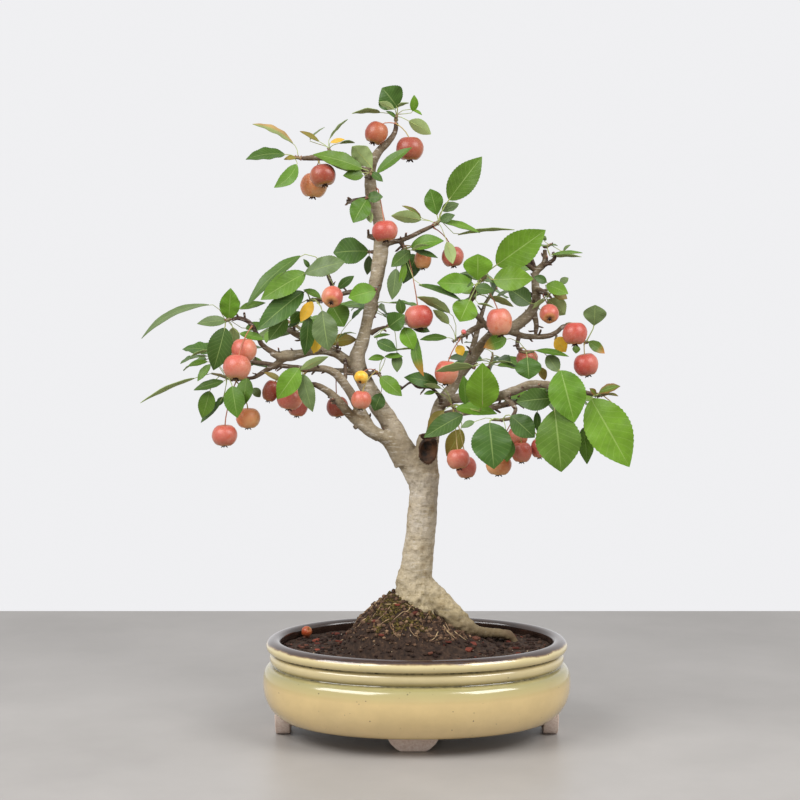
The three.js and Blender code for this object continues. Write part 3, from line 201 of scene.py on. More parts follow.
def hold(obj):
    """Lets go of everything and selects one object, which the next operators act on."""
    let_go()
    obj.select_set(True)
    bpy.context.view_layer.objects.active = obj


def edit(obj, mode=VERT):
    """Opens an object in edit mode with nothing selected."""
    hold(obj)
    bpy.ops.object.mode_set(mode="EDIT")
    bpy.ops.mesh.select_mode(type=mode)
    bpy.ops.mesh.select_all(action="DESELECT")


def pick(obj, test, kind="verts"):
    """Selects the corners, edges or faces of the object in edit mode whose element passes the test."""
    mesh = bmesh.from_edit_mesh(obj.data)
    found = [e for e in getattr(mesh, kind) if test(e)]
    for e in found:
        e.select_set(True)
    mesh.select_flush_mode()
    bmesh.update_edit_mesh(obj.data)
    return len(found)


def apply(obj, kind, **settings):
    """Adds a modifier and applies it."""
    hold(obj)
    modifier = obj.modifiers.new(kind, kind)
    for name, value in settings.items():
        setattr(modifier, name, value)
    bpy.ops.object.modifier_apply(modifier=modifier.name)


def joined(objects, name):
    """The objects as one, with the name given."""
    let_go()
    for obj in objects:
        obj.select_set(True)
    bpy.context.view_layer.objects.active = objects[0]
    if len(objects) > 1:
        bpy.ops.object.join()
    whole = bpy.context.view_layer.objects.active
    whole.name = whole.data.name = name
    return whole


def done(obj, nodes, slot, *materials, smooth=35):
    """Finishes a piece: shading, place, material, body and the nodes it stands for. The slot is not used."""
    hold(obj)
    bpy.ops.object.transform_apply(location=True, rotation=True, scale=True)
    if smooth:
        bpy.ops.object.shade_smooth_by_angle(angle=math.radians(smooth))
    for material in materials:
        obj.data.materials.append(material)
    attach(obj, "root")
    if nodes:
        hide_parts(*nodes)
    return obj


# %% [markdown]
# ## Copies that follow a shape
# Leaves, stalks, fruit and crumbs repeat. Each is modelled once, as a small master in a simple box. A copy
# gets a mesh of its own, and its corners are moved by a rule: along a curve for a stalk, over an arched and
# folded surface for a leaf. The rule gets the master's corners as an array and returns the new ones. A colour
# painted on the copy's corners tells its material which leaf or which apple it is.

# %% Copies with their own mesh
def corners_of(obj, what="co"):
    """The places of an object's corners, one in a row, or their normals."""
    flat = np.empty(len(obj.data.vertices) * 3)
    obj.data.vertices.foreach_get(what, flat)
    return flat.reshape(-1, 3)


def move_corners(obj, corners):
    """Puts an object's corners where the array says."""
    obj.data.vertices.foreach_set("co", np.asarray(corners, np.float32).ravel())
    obj.data.update()


def tint_of(obj):
    """The colours painted on an object's corners, one in a row."""
    flat = np.empty(len(obj.data.vertices) * 4, np.float32)
    obj.data.color_attributes["tint"].data.foreach_get("color", flat)
    return flat.reshape(-1, 4)


def paint(obj, colours):
    """Writes one linear colour for each corner, or the same for all, to the attribute tint."""
    layer = obj.data.color_attributes.get("tint") or obj.data.color_attributes.new(
        "tint", "FLOAT_COLOR", "POINT")
    count = len(obj.data.vertices)
    values = np.broadcast_to(np.asarray(colours, float), (count, 4)).astype(np.float32)
    layer.data.foreach_set("color", values.ravel())


def copy_of(master, corners, colours=None):
    """A copy of a master with a mesh of its own, its corners moved and painted."""
    made = bpy.data.objects.new(master.name, master.data.copy())
    bpy.context.scene.collection.objects.link(made)
    move_corners(made, corners)
    if colours is not None:
        paint(made, colours)
    return made


masters = []

# %% [markdown]
# ## The floor and the light
# A plain pale floor and a pale surround. Two large soft lamps stand high to the left and right, as in a small
# studio: they give the glaze its two bright patches and every apple its soft highlight. The surround's even
# light fills the shadows. It looks almost white, also where the glaze mirrors it, but lights the tree with
# less than that, or the lamps would make no shadows.

# %% Floor, lamps and surround
FLOOR_WIDTH, FLOOR_FRONT, FLOOR_BACK = 9000, -4500, 659
bpy.ops.mesh.primitive_plane_add(size=1, location=(0, 0, 0))
floor = bpy.context.object
floor.name = "floor"
edit(floor)
pick(floor, lambda v: True)
bpy.ops.transform.resize(value=(FLOOR_WIDTH * MM, (FLOOR_BACK - FLOOR_FRONT) * MM, 1))
bpy.ops.transform.translate(value=(0, (FLOOR_BACK + FLOOR_FRONT) / 2 * MM, 0))
let_go()
pale = grained("painted_table_board", 2.6, 6.0, 0.6, [(0.3, "8b8783"), (0.7, "9f9b97")], Roughness=0.42)
floor.data.materials.append(pale)
floor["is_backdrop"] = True

LAMPS = [  # azimuth from the front, height above the table's level, distance, width, height, watts
    ("lamp_left", -50, 42, 1.75, 1.35, 0.9, 30),
    ("lamp_right", 53, 42, 1.75, 1.05, 0.9, 25),
]
AIM = MIDDLE + Vector((0, 0, 250)) * MM
for name, azimuth, lift, away, width, height, watts in LAMPS:
    turn, up = math.radians(azimuth), math.radians(lift)
    out = Vector((math.sin(turn) * math.cos(up), -math.cos(turn) * math.cos(up), math.sin(up)))
    bpy.ops.object.light_add(type="AREA", location=AIM + out * away)
    lamp = bpy.context.object
    lamp.name = name
    lamp.rotation_euler = (-out).to_track_quat("-Z", "Y").to_euler()
    lamp.data.shape = "RECTANGLE"
    lamp.data.size, lamp.data.size_y, lamp.data.energy = width, height, watts

world = bpy.data.worlds.new("pale_surround")
bpy.context.scene.world = world
world.use_nodes = True
surround = world.node_tree.nodes["Background"]
surround.inputs["Color"].default_value = linear("f4f4f6")
path = put(world.node_tree, "LightPath").outputs
seen = put(world.node_tree, "Math", {0: path["Is Camera Ray"], 1: path["Is Glossy Ray"]},
           operation="MAXIMUM").outputs[0]
brightness = put(world.node_tree, "MapRange", {0: seen, 1: 0.0, 2: 1.0, 3: 0.62, 4: 0.96}).outputs[0]
world.node_tree.links.new(brightness, surround.inputs["Strength"])
bpy.context.scene.view_settings.view_transform = "Standard"

# %% [markdown]
# ## The tree's tables
# Where every stem, leaf and apple of this tree is. Lengths are millimetres. A stem is its number of sides in
# the coarse model, then stations of x, z, depth and radius. A leaf is its base, its tip, its width, its turn
# (0 with the upper face to the front, 90 edge-on, 180 underside), then arch, sweep and where it is widest.

# %% Tables
WOOD = [
  # trunk, flared at the soil, thick at the fork
  [12, [[-2, 66, 0, 34], [-2, 100, 0, 32], [-2, 122, 0, 26], [-1.5, 146, 0, 20.5], [-2, 158, 0, 18],
    [1, 177, 0, 16], [4, 208, 0, 15], [6, 230, 0, 14.7], [7, 252, 0, 15.6], [4, 270, 0, 18.5],
    [-1, 284, 0, 16]]],
  # leader
  [8, [[2, 268, 0, 15], [-12, 286, 0, 12.5], [-25, 313, 0, 10], [-42, 340, 0, 9], [-60, 376, 0, 8.2],
    [-54, 402, 0, 6.6], [-50, 420, 0, 6], [-45, 442, 0, 6.6], [-38, 478, 0, 7.8], [-36, 500, 0, 7.3],
    [-39, 525, 0, 6.2], [-46, 548, 0, 6.4], [-46, 572, 0, 5.2], [-39, 588, -1, 4.2], [-29, 598, -1, 3.4],
    [-22, 608, 0, 2.7], [-21, 618, 0, 2.3]]],
  # pruned stump beside the fork
  [8, [[6, 264, 0, 13], [9, 284, -6, 12], [12, 303, -9, 10.5]]],
  # left limbs: upper, lower
  [8, [[-14, 276, -2, 9.5], [-29, 299, -5, 7], [-45, 309, -8, 6.5], [-53, 322, -9, 5.6],
    [-60, 335, -10, 5.2], [-69, 351, -11, 4.7], [-81, 366, -12, 4.2], [-95, 372, -15, 3.4],
    [-111, 370, -18, 2.4]]],
  [8, [[-38, 303, -8, 6], [-48, 309, -11, 5.8], [-64, 322, -13, 5.2], [-73, 332, -14, 4.8],
    [-81, 341, -15, 4.4], [-90, 349, -16, 3.8], [-101, 355, -17, 2.8], [-111, 357, -18, 1.8]]],
  # limb to the upper left, off the leader, with its knob
  [8, [[-58, 372, 0, 6], [-70, 379, 1, 5.2], [-80, 386, 2, 4.6], [-93, 390, 0, 4.4], [-107, 389, -3, 4.2],
    [-121, 386, -6, 5], [-130, 385, -8, 6], [-139, 385, -10, 4.5], [-147, 388, -11, 3]]],
  [5, [[-139, 385, -10, 3.4], [-155, 395, -12, 2.6], [-161, 407, -14, 2.4], [-168, 418, -16, 2.2],
    [-178, 422.5, -18, 2.1], [-185.6, 421.4, -20, 1.8]]],
  [5, [[-130, 384, -8, 3.6], [-144, 375, -9, 3], [-157, 367, -10, 2.6], [-164, 363, -10.5, 2.2],
    [-170, 362, -10, 2]]],
  [5, [[-92, 389, 0, 3.8], [-107, 398, 3, 3.6], [-120, 406, 5, 3.6], [-131, 413, 5, 3], [-143, 421, 4, 2]]],
  # right limb, from behind the fork to the top right
  [8, [[8, 268, 8, 11], [15, 300, 9, 7.8], [22, 332, 11, 6.7], [34, 350, 12, 6.2], [43, 365, 12, 5.4],
    [56, 382, 11, 5], [66, 397, 10, 5], [78, 408, 8, 5], [93, 412, 8, 5.4], [106, 420, 8, 6],
    [116, 431, 8, 5.2],
    [120, 443, 8, 4.6], [119, 454, 8, 4.2], [119, 468, 8, 3.8], [128, 478, 8, 3.4], [128, 491.6, 8, 2.3]]],
  [4, [[119, 470, 8, 2.6], [110, 477, 6, 2.2], [101, 482, 5, 1.6]]],
  [4, [[118, 472, 8, 2.2], [114, 486, 6, 1.5]]],
  [4, [[124, 474, 8, 2.4], [132, 478, 6, 2.2], [138, 483, 5, 2], [136, 489, 5, 1.6]]],
  # branch to the lower right
  [8, [[28, 340, 12, 5.2], [44, 342, 3, 5], [63, 340, -6, 4.8], [83, 344, -16, 4.6], [99, 350, -24, 4.4],
    [117, 356, -32, 4.2], [143, 354, -40, 3.6], [165, 349, -46, 2.8], [181, 345, -48, 2.2]]],
  [4, [[88, 344, -18, 3], [99, 332, -29, 2.2], [96, 322, -34, 2]]],
  [4, [[132, 355, -36, 2.6], [137, 347, -46, 2.1], [137, 343, -50, 2]]],
  # lateral to the upper left, red-brown
  [5, [[-46, 567, 0, 3.8], [-60, 574, -3, 3.2], [-78, 581, -6, 2.9], [-97, 583, -8, 3.4],
    [-115, 582, -10, 2.4]]],
  [4, [[-88, 580, -7, 2], [-88, 587.7, -4, 1.6]]],
  # twig behind the left foliage and its shoots
  [5, [[-44, 447, 3, 3.4], [-62, 449, 5, 2.6], [-75, 447, 4, 2.4], [-90, 442, 2, 2.2],
    [-104, 441, -2, 1.9]]],
  [4, [[-82, 445, 3.4, 2], [-86, 458, 0, 1.9], [-91, 470, -4, 1.8]]],
  # twigs right of the leader
  [5, [[-36, 496, 0, 4], [-24, 499, -2, 2.9], [-15, 501, -4, 2.6], [-5, 505, -6, 2.4], [5, 510, -8, 2.4],
    [16, 515, -10, 2.2]]],
  [4, [[-16, 501, -4, 2.4], [-14, 494, -2, 2]]],
  [4, [[-46, 408, 0, 3], [-38, 412, -3, 2], [-30, 414, -5, 1.6]]],
  [4, [[-54, 367, 0, 3.6], [-46, 367, -4, 2.4], [-40, 368, -6, 2]]],
  # spurs in front of the leader
  [4, [[-47, 562, 0, 3.4], [-46, 566, -8, 2.5]]],
  [4, [[-46, 545, 0, 3.4], [-49, 543, -8, 2.2]]],
  [4, [[-44, 452, 0, 3.2], [-42, 451, -8.4, 2]]],
  [5, [[-44, 543, 0, 3], [-58, 541, 1, 2.4], [-70, 539, 2, 2.2]]],
  [4, [[-38, 502, 0, 3.4], [-49, 505, -3, 2.6]]],
  [4, [[-40, 489, 0, 3], [-47, 489, 0, 1.7]]],
  [4, [[-79, 386, 2, 2.6], [-80, 395, -3, 1.6]]],
  [4, [[-58, 316, -12, 3], [-63, 312, -14, 2.6]]],
  [4, [[-72, 384, 1, 2], [-72, 362, -11, 1.8]]],
  # twigs of the right limb
  [4, [[22, 333, 11, 2.6], [24, 341, 6, 1.9], [15, 352, 3, 1.6], [1, 353, 1, 1.4], [-6, 358, 0, 1.3],
    [-16, 351, 0, 1.1]]],
  [4, [[24, 336, 11, 3.6], [34, 335, 4, 2.2]]],
  [4, [[51, 376, 11, 3.4], [57, 373, 3, 1.6]]],
  [5, [[78, 408, 8, 4], [69, 416, 5, 3.2], [58, 412, 0, 3.2], [48, 406, -3, 2.6], [41, 402, -4, 1.7]]],
  [5, [[72, 413, 5, 3.2], [59, 427, 1, 2.8], [54, 440, -2, 2.3], [57, 450, -4, 2.3], [63, 458, -6, 2.2]]],
  [5, [[93, 410, 8, 3.8], [106, 405, 6, 3.2], [120, 404, 3, 3], [133, 405, 1, 2.8], [141, 409, 1, 2.6],
    [149, 415, 2, 2.2], [159, 408, 8, 1.9], [167, 400, 4, 1.7]]],
  [4, [[117, 430, 8, 3.2], [120, 416, 6, 2.6], [119, 405, 4, 2]]],
  [4, [[103, 406, 6, 2.6], [101, 396, 3, 2], [104, 390, 0, 1.8]]],
  [4, [[119, 452, 8, 3.4], [126, 449, 4, 2.6], [131, 446, 0, 1.8]]],
  # limbs that reach to the back, and the twigs on them
  [7, [[-44, 344, 1, 5.5], [-50, 358, 13, 4.6], [-64, 376, 26, 3.8], [-84, 392, 38, 3],
    [-104, 402, 46, 2.2]]],
  [5, [[-58, 369, 21, 2.8], [-110, 372, 37, 2.5], [-160, 378, 44, 2.2], [-186, 384, 47, 1.9]]],
  [5, [[-63, 375, 25, 2.6], [-58, 400, 31, 2.2], [-44, 424, 34, 1.9]]],
  [7, [[18, 318, 6, 5.4], [34, 326, 18, 4.6], [62, 330, 30, 3.8], [92, 336, 39, 3], [112, 340, 44, 2.2]]],
  [6, [[50, 372, 9, 4.2], [56, 392, 20, 3.4], [62, 416, 32, 2.8], [68, 436, 40, 2.2]]],
  [5, [[60, 330, 29, 2.8], [62, 350, 33, 2.3], [72, 372, 36, 1.9]]],
]

# Roots that run over the mound and into the soil.
ROOTS = [
  [7, [[6, 150, -2, 13], [20, 137, -6, 13], [36, 121, -9, 12], [48, 110, -8, 10], [60, 104, 4, 6.5],
    [74, 102.5, 20, 5], [88, 101, 30, 5], [96, 98.5, 33, 4.5], [102, 89, 34, 3.5]]],
  [6, [[-12, 130, -2, 9], [-34, 112, -8, 8], [-56, 92, -14, 6], [-74, 80, -18, 4]]],
  [6, [[-2, 130, 12, 9], [-10, 112, 36, 7.5], [-14, 96, 54, 5.5], [-18, 80, 68, 3.5]]],
]

# Leafy shoots: name, stations of the green shoot [x, z, y, radius], then its leaves:
# [base x, z, y, tip x, z, y, width, turn, arch, sweep, widest]. Turn is 0 where the upper face looks to the
# front, 90 where the blade is edge-on with that face up, and 180 where the underside shows.
SHOOTS = [
  ["crown_tip", [[-21, 619.1, 0, 2.1], [-21, 622, -1, 2], [-20, 626, -1, 1.4]], [
    [-20, 633, -2, -35, 652, -10, 29, 12, 2, 0, 0.5], [-23, 631, -9, -38, 638, -16, 8, 160],
    [-37, 627.5, -3, -65, 626.5, -14, 14, 105, 1.5], [-19, 622, -3, -31, 629, -8, 5, 40],
    [-4, 629, -4, -3, 645, -8, 9, 25], [-4, 630, -4, 5, 625, -8, 4, 40], [-21, 632, 1, -8, 637, -2, 9, 105],
    [-8, 619, -4, 14, 606, -8, 15, 150, 1.5]]],
  ["lateral_end", [[-115.9, 582, -10.1, 1.8], [-120, 583, -11, 1.6], [-124, 582, -12, 1]], [
    [-124, 597, -10, -164, 616, -16, 14, 62, 4], [-132, 586, -14, -171, 581, -24, 19, 50, 3],
    [-120, 583, -13, -133, 581, -15, 6, 40], [-120, 576, -14, -143, 553, -22, 15, 15, 2, -4]]],
  ["lateral_mid", [[-88, 588.1, -3.6, 1.4], [-88, 591, -3, 1.3], [-87, 593, -3, 0.8]], [
    [-98, 599, -2, -117, 609, -6, 8, 55], [-87, 602, -1, -69, 621, 4, 10, 100],
    [-86, 598, -6, -72, 601, -8, 5, 20],
    [-77, 597, -2, -62, 597.5, 2, 8, 110], [-107, 601, 2, -92, 613, 6, 8, 80]]],
  ["leader_high", [[-46, 566, -8.8, 2.2], [-46, 568, -11, 2], [-45, 570, -13, 1.2]], [
    [-55, 572, -13, -104, 586, -26, 19, 35, 3], [-55, 568, -14, -94, 581, -20, 10, 150, 1],
    [-54, 565, -14, -74, 565, -20, 12, 25], [-45, 573, -13, -65, 594, -18, 21, 155, 2, 0, 0.55],
    [-40, 568, -12, -5, 593, -24, 13, 40, 2], [-43, 565, -12, -34, 559, -16, 8, 20]]],
  ["leader_mid", [[-49, 543, -8.4, 2], [-50, 543, -11, 1.5]], [
    [-50, 540, -12, -64, 518, -20, 21, 10, 2, 0, 0.5], [-49, 542, -12, -34, 544, -16, 12, 20],
    [-50, 531, -13, -46, 518, -19, 8, 160]]],
  ["spur_right", [[17.3, 515.7, -10.2, 2], [20, 518, -10, 2], [24, 521, -10, 1.2]], [
    [4, 521, -12, -26, 525, -16, 14, 150, 2], [4, 523, -9, -15, 535, -8, 8, 60, 2],
    [20, 526, -11, 13, 552, -14, 19, 8, 1, 0, 0.55], [32, 541, -12, 65, 584, -20, 27, 8, 3],
    [25, 530, -6, 42, 537, 0, 12, 35], [25, 519, -12, 38, 526, -16, 10, 25],
    [27, 519, -10, 63, 508, -18, 10, 50, 2],
    [41, 506, -8, 98, 511, -16, 11, 107, 2], [30, 499, -14, 36, 477, -20, 12, 160]]],
  ["spur_centre", [[-13.8, 492.6, -2.5, 1.8], [-13, 490.5, -3.4, 1.6], [-12, 488, -4, 1]], [
    [-6, 494, -8, 27, 500, -18, 17, 35, 3], [-5, 491, -14, 12, 496, -20, 7, 140],
    [-2, 490, -8, 21, 483, -14, 8, 45],
    [-7, 490, -6, -26, 474, -12, 14, 10], [0, 486, 25, -14, 457, 19, 20, 10, 2, 0, 0.35],
    [-12, 478, -8, -18, 455, -12, 8, 30], [-21, 472, -10, -25, 441, -14, 15, 10],
    [2, 456, -13, 45, 440, -22, 10, 55, 3]]],
  ["leader_left", [[-47.4, 489, 0, 1.5], [-49, 489, 0, 1.3]], [
    [-49, 490, 0, -84, 488, -6, 28, 20, 3, 0, 0.55], [-48, 485, 6, -50, 466, 8, 9, 10]]],
  ["left_upper", [[-91.3, 470.6, -4.3, 1.6], [-92, 474, -6, 1.4], [-94, 477, -7, 0.9]], [
    [-117, 485, -6, -171, 434, -18, 18, 45, 6], [-112, 468, -14, -157, 441, -26, 23, 12, 3],
    [-113, 467, -16, -72, 479, -26, 21, 25, 3, 0, 0.55], [-108, 473, -6, -114, 482, -8, 5, 20],
    [-79, 452, -10, -63, 465, -6, 10, 30]]],
  ["left_centre", [[-105, 440.9, -2.7, 1.5], [-109, 440, -5.6, 1.2]], [
    [-114, 449, -12, -161, 410, -30, 24, 18, 3], [-97, 444, -10, -114, 451, -14, 9, 45],
    [-109, 424, -14, -113, 385, -22, 16, 20, 2], [-95, 430, -26, -89, 390, -34, 26, -5, 2, 0, 0.5],
    [-86, 436, -8, -73, 414, -14, 25, 5, 2, 0, 0.5], [-117, 429, -6, -127, 417, -10, 11, 10],
    [-131, 423, -10, -149, 400, -18, 17, 10], [-118, 419, -2, -130, 413, -4, 6, 40]]],
  ["leader_elbow", [[-42, 451, -8.9, 1.7], [-41, 451, -11, 1.2]],
    [[-40, 450, -12, -69, 443, -22, 21, 10, 2, 0, 0.5]]],
  ["limb_left_up", [[-80, 396, -3.4, 1.4], [-80, 399, -4, 1]], [
    [-65, 422, -2, -54, 433, 2, 8, 60], [-79, 402, -6, -61, 407, -8, 8, 100, 3],
    [-88, 398, 6, -60, 401, 10, 14, 30, 2],
    [-99, 404, -8, -104, 387, -12, 11, 0]]],
  ["far_left_high", [[-187.6, 422, -20.2, 1.8], [-191.5, 420.4, -20.4, 1.8], [-196, 420, -21, 1]], [
    [-189, 427, -22, -187, 453, -26, 20, 5, 2], [-179, 434, -13, -183, 443, -11, 6, 40],
    [-209, 436, -22, -277, 402, -44, 15, 62, 9], [-192, 421, -24, -221, 417, -34, 12, 30, 1],
    [-193, 413, -24, -205, 370, -28, 25, 10, 3], [-178, 432, 2, -152, 438, 8, 10, 50],
    [-172, 412, -4, -153, 416, 0, 10, 30], [-185, 413, -10, -184, 394, -6, 12, 165],
    [-178, 407, -17, -153, 401, -13, 10, 40]]],
  ["far_left_low", [[-170.9, 362, -10, 1.9], [-185, 361, -13, 1.7], [-198, 365, -15, 1.5],
    [-207, 367, -16, 0.9]], [
    [-209, 390, -12, -228, 384, -14, 7, 115], [-211, 379, -14, -231, 374, -18, 8, 50],
    [-208, 376, -16, -221, 359, -20, 9, 30], [-224, 362, -18, -279, 337, -36, 11, 112, 2],
    [-195, 359, -18, -225, 350, -24, 11, 40, 1], [-209, 349, -16, -217, 322, -20, 17, 15, 2],
    [-197, 340, -12, -218, 317, -14, 9, 35], [-195, 343, -10, -201, 334, -10, 7, 20],
    [-186, 354, -22, -181, 322, -28, 21, 0, 2], [-171, 362, -16, -174, 335, -20, 18, -20, 2],
    [-165, 352, -2, -158, 343, 0, 9, 20]]],
  ["left_low", [[-112, 370, -18.9, 1.8], [-115, 370, -21, 1.5], [-118, 370, -23, 1]], [
    [-119, 372, -28, -141, 341, -36, 22, 0, 3], [-117, 371, -28, -89, 384, -27, 10, 150, 1],
    [-115, 366, -26, -105, 328, -32, 17, -10, 2], [-137, 360, -22, -154, 368, -25, 7, 40]]],
  ["centre_low", [[-38.7, 367.8, -7.1, 1.8], [-38, 366, -7, 1.6], [-36, 362, -8, 1]], [
    [-36, 347, -10, -43, 329, -14, 15, 0, 1, 0, 0.5], [-37, 362, -10, -15, 344, -16, 16, 15, 2],
    [-33, 383, -8, -49, 381, -12, 8, 40], [-32, 384, -8, -14, 384, -12, 7, 40]]],
  ["centre_mid", [[-29.3, 414.1, -5.4, 1.4], [-26, 414, -6, 1.3], [-22, 413, -7, 0.9]], [
    [-28, 414, -12, -12, 426, -18, 20, 10, 2], [-15, 427, -4, -18, 442, -4, 10, 5],
    [-6, 415, 2, 13, 409, 2, 10, 30],
    [-13, 413, -12, -3, 391, -16, 17, 0, 2], [-1, 404, -10, 7, 364, -14, 11, 15, 2, 4],
    [-40, 399, -10, -20, 390, -14, 13, 20], [-20, 388, -6, -20, 368, -10, 11, 0],
    [-1, 392, -4, -27, 389, -6, 5, 110], [-43, 403, -9, -27, 406, -10, 6, 60]]],
  ["right_low", [[34.7, 334.9, 3.2, 2], [36, 334, 0, 1.8], [38, 333, -4, 1.2]], [
    [21, 357, 1, -13, 363, -7, 16, 25, 2], [24, 352, -6, 7, 356, -10, 6, 150],
    [18, 348, -2, 7, 346, -4, 5, 30],
    [40, 332, -14, 81, 326, -30, 16, 40, 3], [46, 325, -26, 7, 302, -40, 20, 20, 3],
    [27, 329, -4, 11, 310, -8, 13, 20],
    [49, 336, -16, 47, 365, -18, 13, 10], [66, 332, -37, 66, 378, -44, 33, 0, 2, 0, 0.42],
    [45, 310, -2, 30, 283, -8, 18, 0, 2]]],
  ["limb_right", [[57.2, 372.8, 2.6, 1.4], [58, 372, 0, 1.2]], [
    [56, 374, -37, 19, 369, -41, 15, 125, 1], [73, 377, -4, 96, 378, -8, 6, 110]]],
  ["twig_centre", [[40.4, 401.6, -4.3, 1.4], [36.6, 399, -6, 1.1]], [
    [33, 428, -8, 0, 444, -14, 15, 130, 2], [32, 417, -4, 16, 431, -6, 11, 140],
    [30, 403, -10, 3, 401, -13, 10, 50],
    [41, 395, -1, 46, 385, -3, 10, 10]]],
  ["right_upper", [[64, 459.6, -7, 2], [67, 463, -8.6, 1.8], [70, 466, -10, 1.1]], [
    [53, 441, -14, 43, 419, -20, 26, 5, 2, 0, 0.5], [57, 456, -12, 20, 458, -20, 21, 15, 2, 0, 0.5],
    [55, 463, -11, 38, 455, -13, 14, 15], [59, 453, -14, 77, 450, -18, 12, 20],
    [61, 461, -12, 61, 487, -16, 29, 0, 2, 0, 0.6], [80, 476, -12, 129, 511, -26, 34, 5, 3],
    [77, 461, -14, 117, 462, -24, 25, 15, 3], [73, 444, 1, 97, 434, 3, 10, 130],
    [61, 437, -15, 77, 433, -17, 6, 110]]],
  ["right_top", [[128.8, 493.8, 8, 1.9], [135, 497, 7, 1.2]], [
    [135, 486, 0, 166, 488, -8, 10, 70], [135, 484, 10, 165, 484, 6, 9, 110],
    [147, 490, 6, 154, 496, 6, 5, 60],
    [130, 494, 6, 118, 494, 2, 6, 75], [133, 494, 6, 141, 495, 4, 5, 75],
    [127, 501, 6, 129, 505, 4, 6, 20]]],
  ["right_shoulder", [[131.3, 445.6, -0.3, 1.6], [134, 444, -3, 1.3]], [
    [130, 459, -4, 117, 464, -8, 9, 20], [130, 456, -8, 152, 447, -14, 15, 20, 2],
    [136, 449, -4, 151, 442, -6, 12, 30],
    [144, 457, 0, 152, 463, 2, 8, 30], [131, 441, 6, 149, 426, 4, 21, 150, 2, 0, 0.5],
    [129, 441, -6, 116, 432, -10, 7, 130], [114, 437, -4, 91, 453, -2, 21, 20]]],
  ["right_mid", [[167.7, 399.3, 3.8, 1.5], [170, 398, 3, 1.3], [173, 399, 2, 0.9]], [
    [178, 415, 0, 179, 436, -4, 23, 0, 1, 0, 0.6], [173, 399, -2, 189, 387, -6, 11, 20],
    [160, 395, 0, 160, 387, -2, 8, 10]]],
  ["right_inner", [[104.7, 389.4, -0.9, 1.6], [110, 388, -3.5, 1.4], [118, 389, -5, 0.9]], [
    [120, 390, -8, 153, 384, -14, 8, 45, 2], [111, 383, -12, 113, 361, -18, 26, 0, 2, 0, 0.5],
    [131, 385, -4, 143, 368, -8, 15, 15], [124, 373, 0, 129, 360, 0, 9, 20],
    [90, 402, -2, 67, 393, -4, 15, 15]]],
  ["low_front", [[95.3, 321.4, -35, 1.8], [85, 320, -38, 1.6], [75, 320, -42, 1]], [
    [73, 317, -46, 78, 270, -58, 40, 0, 3], [91, 302, -47, 91, 277, -51, 16, 10],
    [95, 324, -48, 119, 302, -58, 23, 10, 2, 0, 0.5], [58, 318, -34, 45, 312, -34, 8, 40]]],
  ["low_right", [[136.8, 342.6, -50.3, 1.8], [137, 340, -54, 1.5], [138, 337, -56, 1]], [
    [134, 342, -52, 100, 338, -50, 23, 15, 3], [121, 328, -44, 121, 309, -44, 8, 15],
    [145, 370, -56, 159, 317, -68, 37, 0, 3], [139, 330, -60, 146, 267, -72, 45, 0, 4, 0, 0.5],
    [139, 339, -58, 149, 327, -62, 5, 60]]],
  ["low_right_end", [[182, 344.8, -48.5, 1.8], [186, 345, -50, 1.5], [192, 346, -51, 1]], [
    [176, 341, -54, 215, 272, -72, 45, 0, 4], [168, 312, -48, 172, 275, -52, 17, 20],
    [184, 348, -52, 205, 354, -60, 12, 50], [180, 346, -54, 174, 352, -58, 6, 20],
    [196, 346, -52, 203, 344, -54, 5, 60]]],
  ["yellow_leaf_left", [[-97.4, 438.7, -1.5, 1], [-99, 437.4, -6, 0.9]],
    [[-105, 439, -15, -117, 419, -19, 12, 5, 1]]],
  ["yellow_leaf_right", [[140, 404.8, 0.4, 1], [139.4, 402, -0.6, 0.9]],
    [[139, 401, -1, 150, 388.5, -2, 15, 10, 1]]],
]

# Shoots on the limbs at the back: name, shoot, seed, leaf count, reach of the spread.
BACK_SHOOTS = [
  ["back_left_high", [[-104.6, 402.2, 46.4, 1.9], [-120, 414, 54, 1.7], [-138, 424, 60, 1]], 11, 9, 46],
  ["back_left_low", [[-187.4, 384.1, 47.6, 1.7], [-196, 386, 52, 1.5], [-204, 382, 62, 1]], 29, 7, 40],
  ["back_middle", [[-43.7, 424.8, 34.1, 1.6], [-40, 434, 38, 1.5], [-42, 446, 46, 1]], 53, 8, 40],
  ["back_right_high", [[68.2, 436.7, 40.3, 1.9], [78, 452, 46, 1.7], [84, 462, 56, 1]], 37, 9, 46],
  ["back_right_mid", [[72.3, 372.7, 36.2, 1.6], [76, 382, 42, 1.5], [76, 388, 50, 1]], 61, 7, 40],
  ["back_right_low", [[112.6, 340.2, 44.3, 1.9], [126, 346, 50, 1.7], [142, 350, 58, 1]], 41, 9, 48],
]

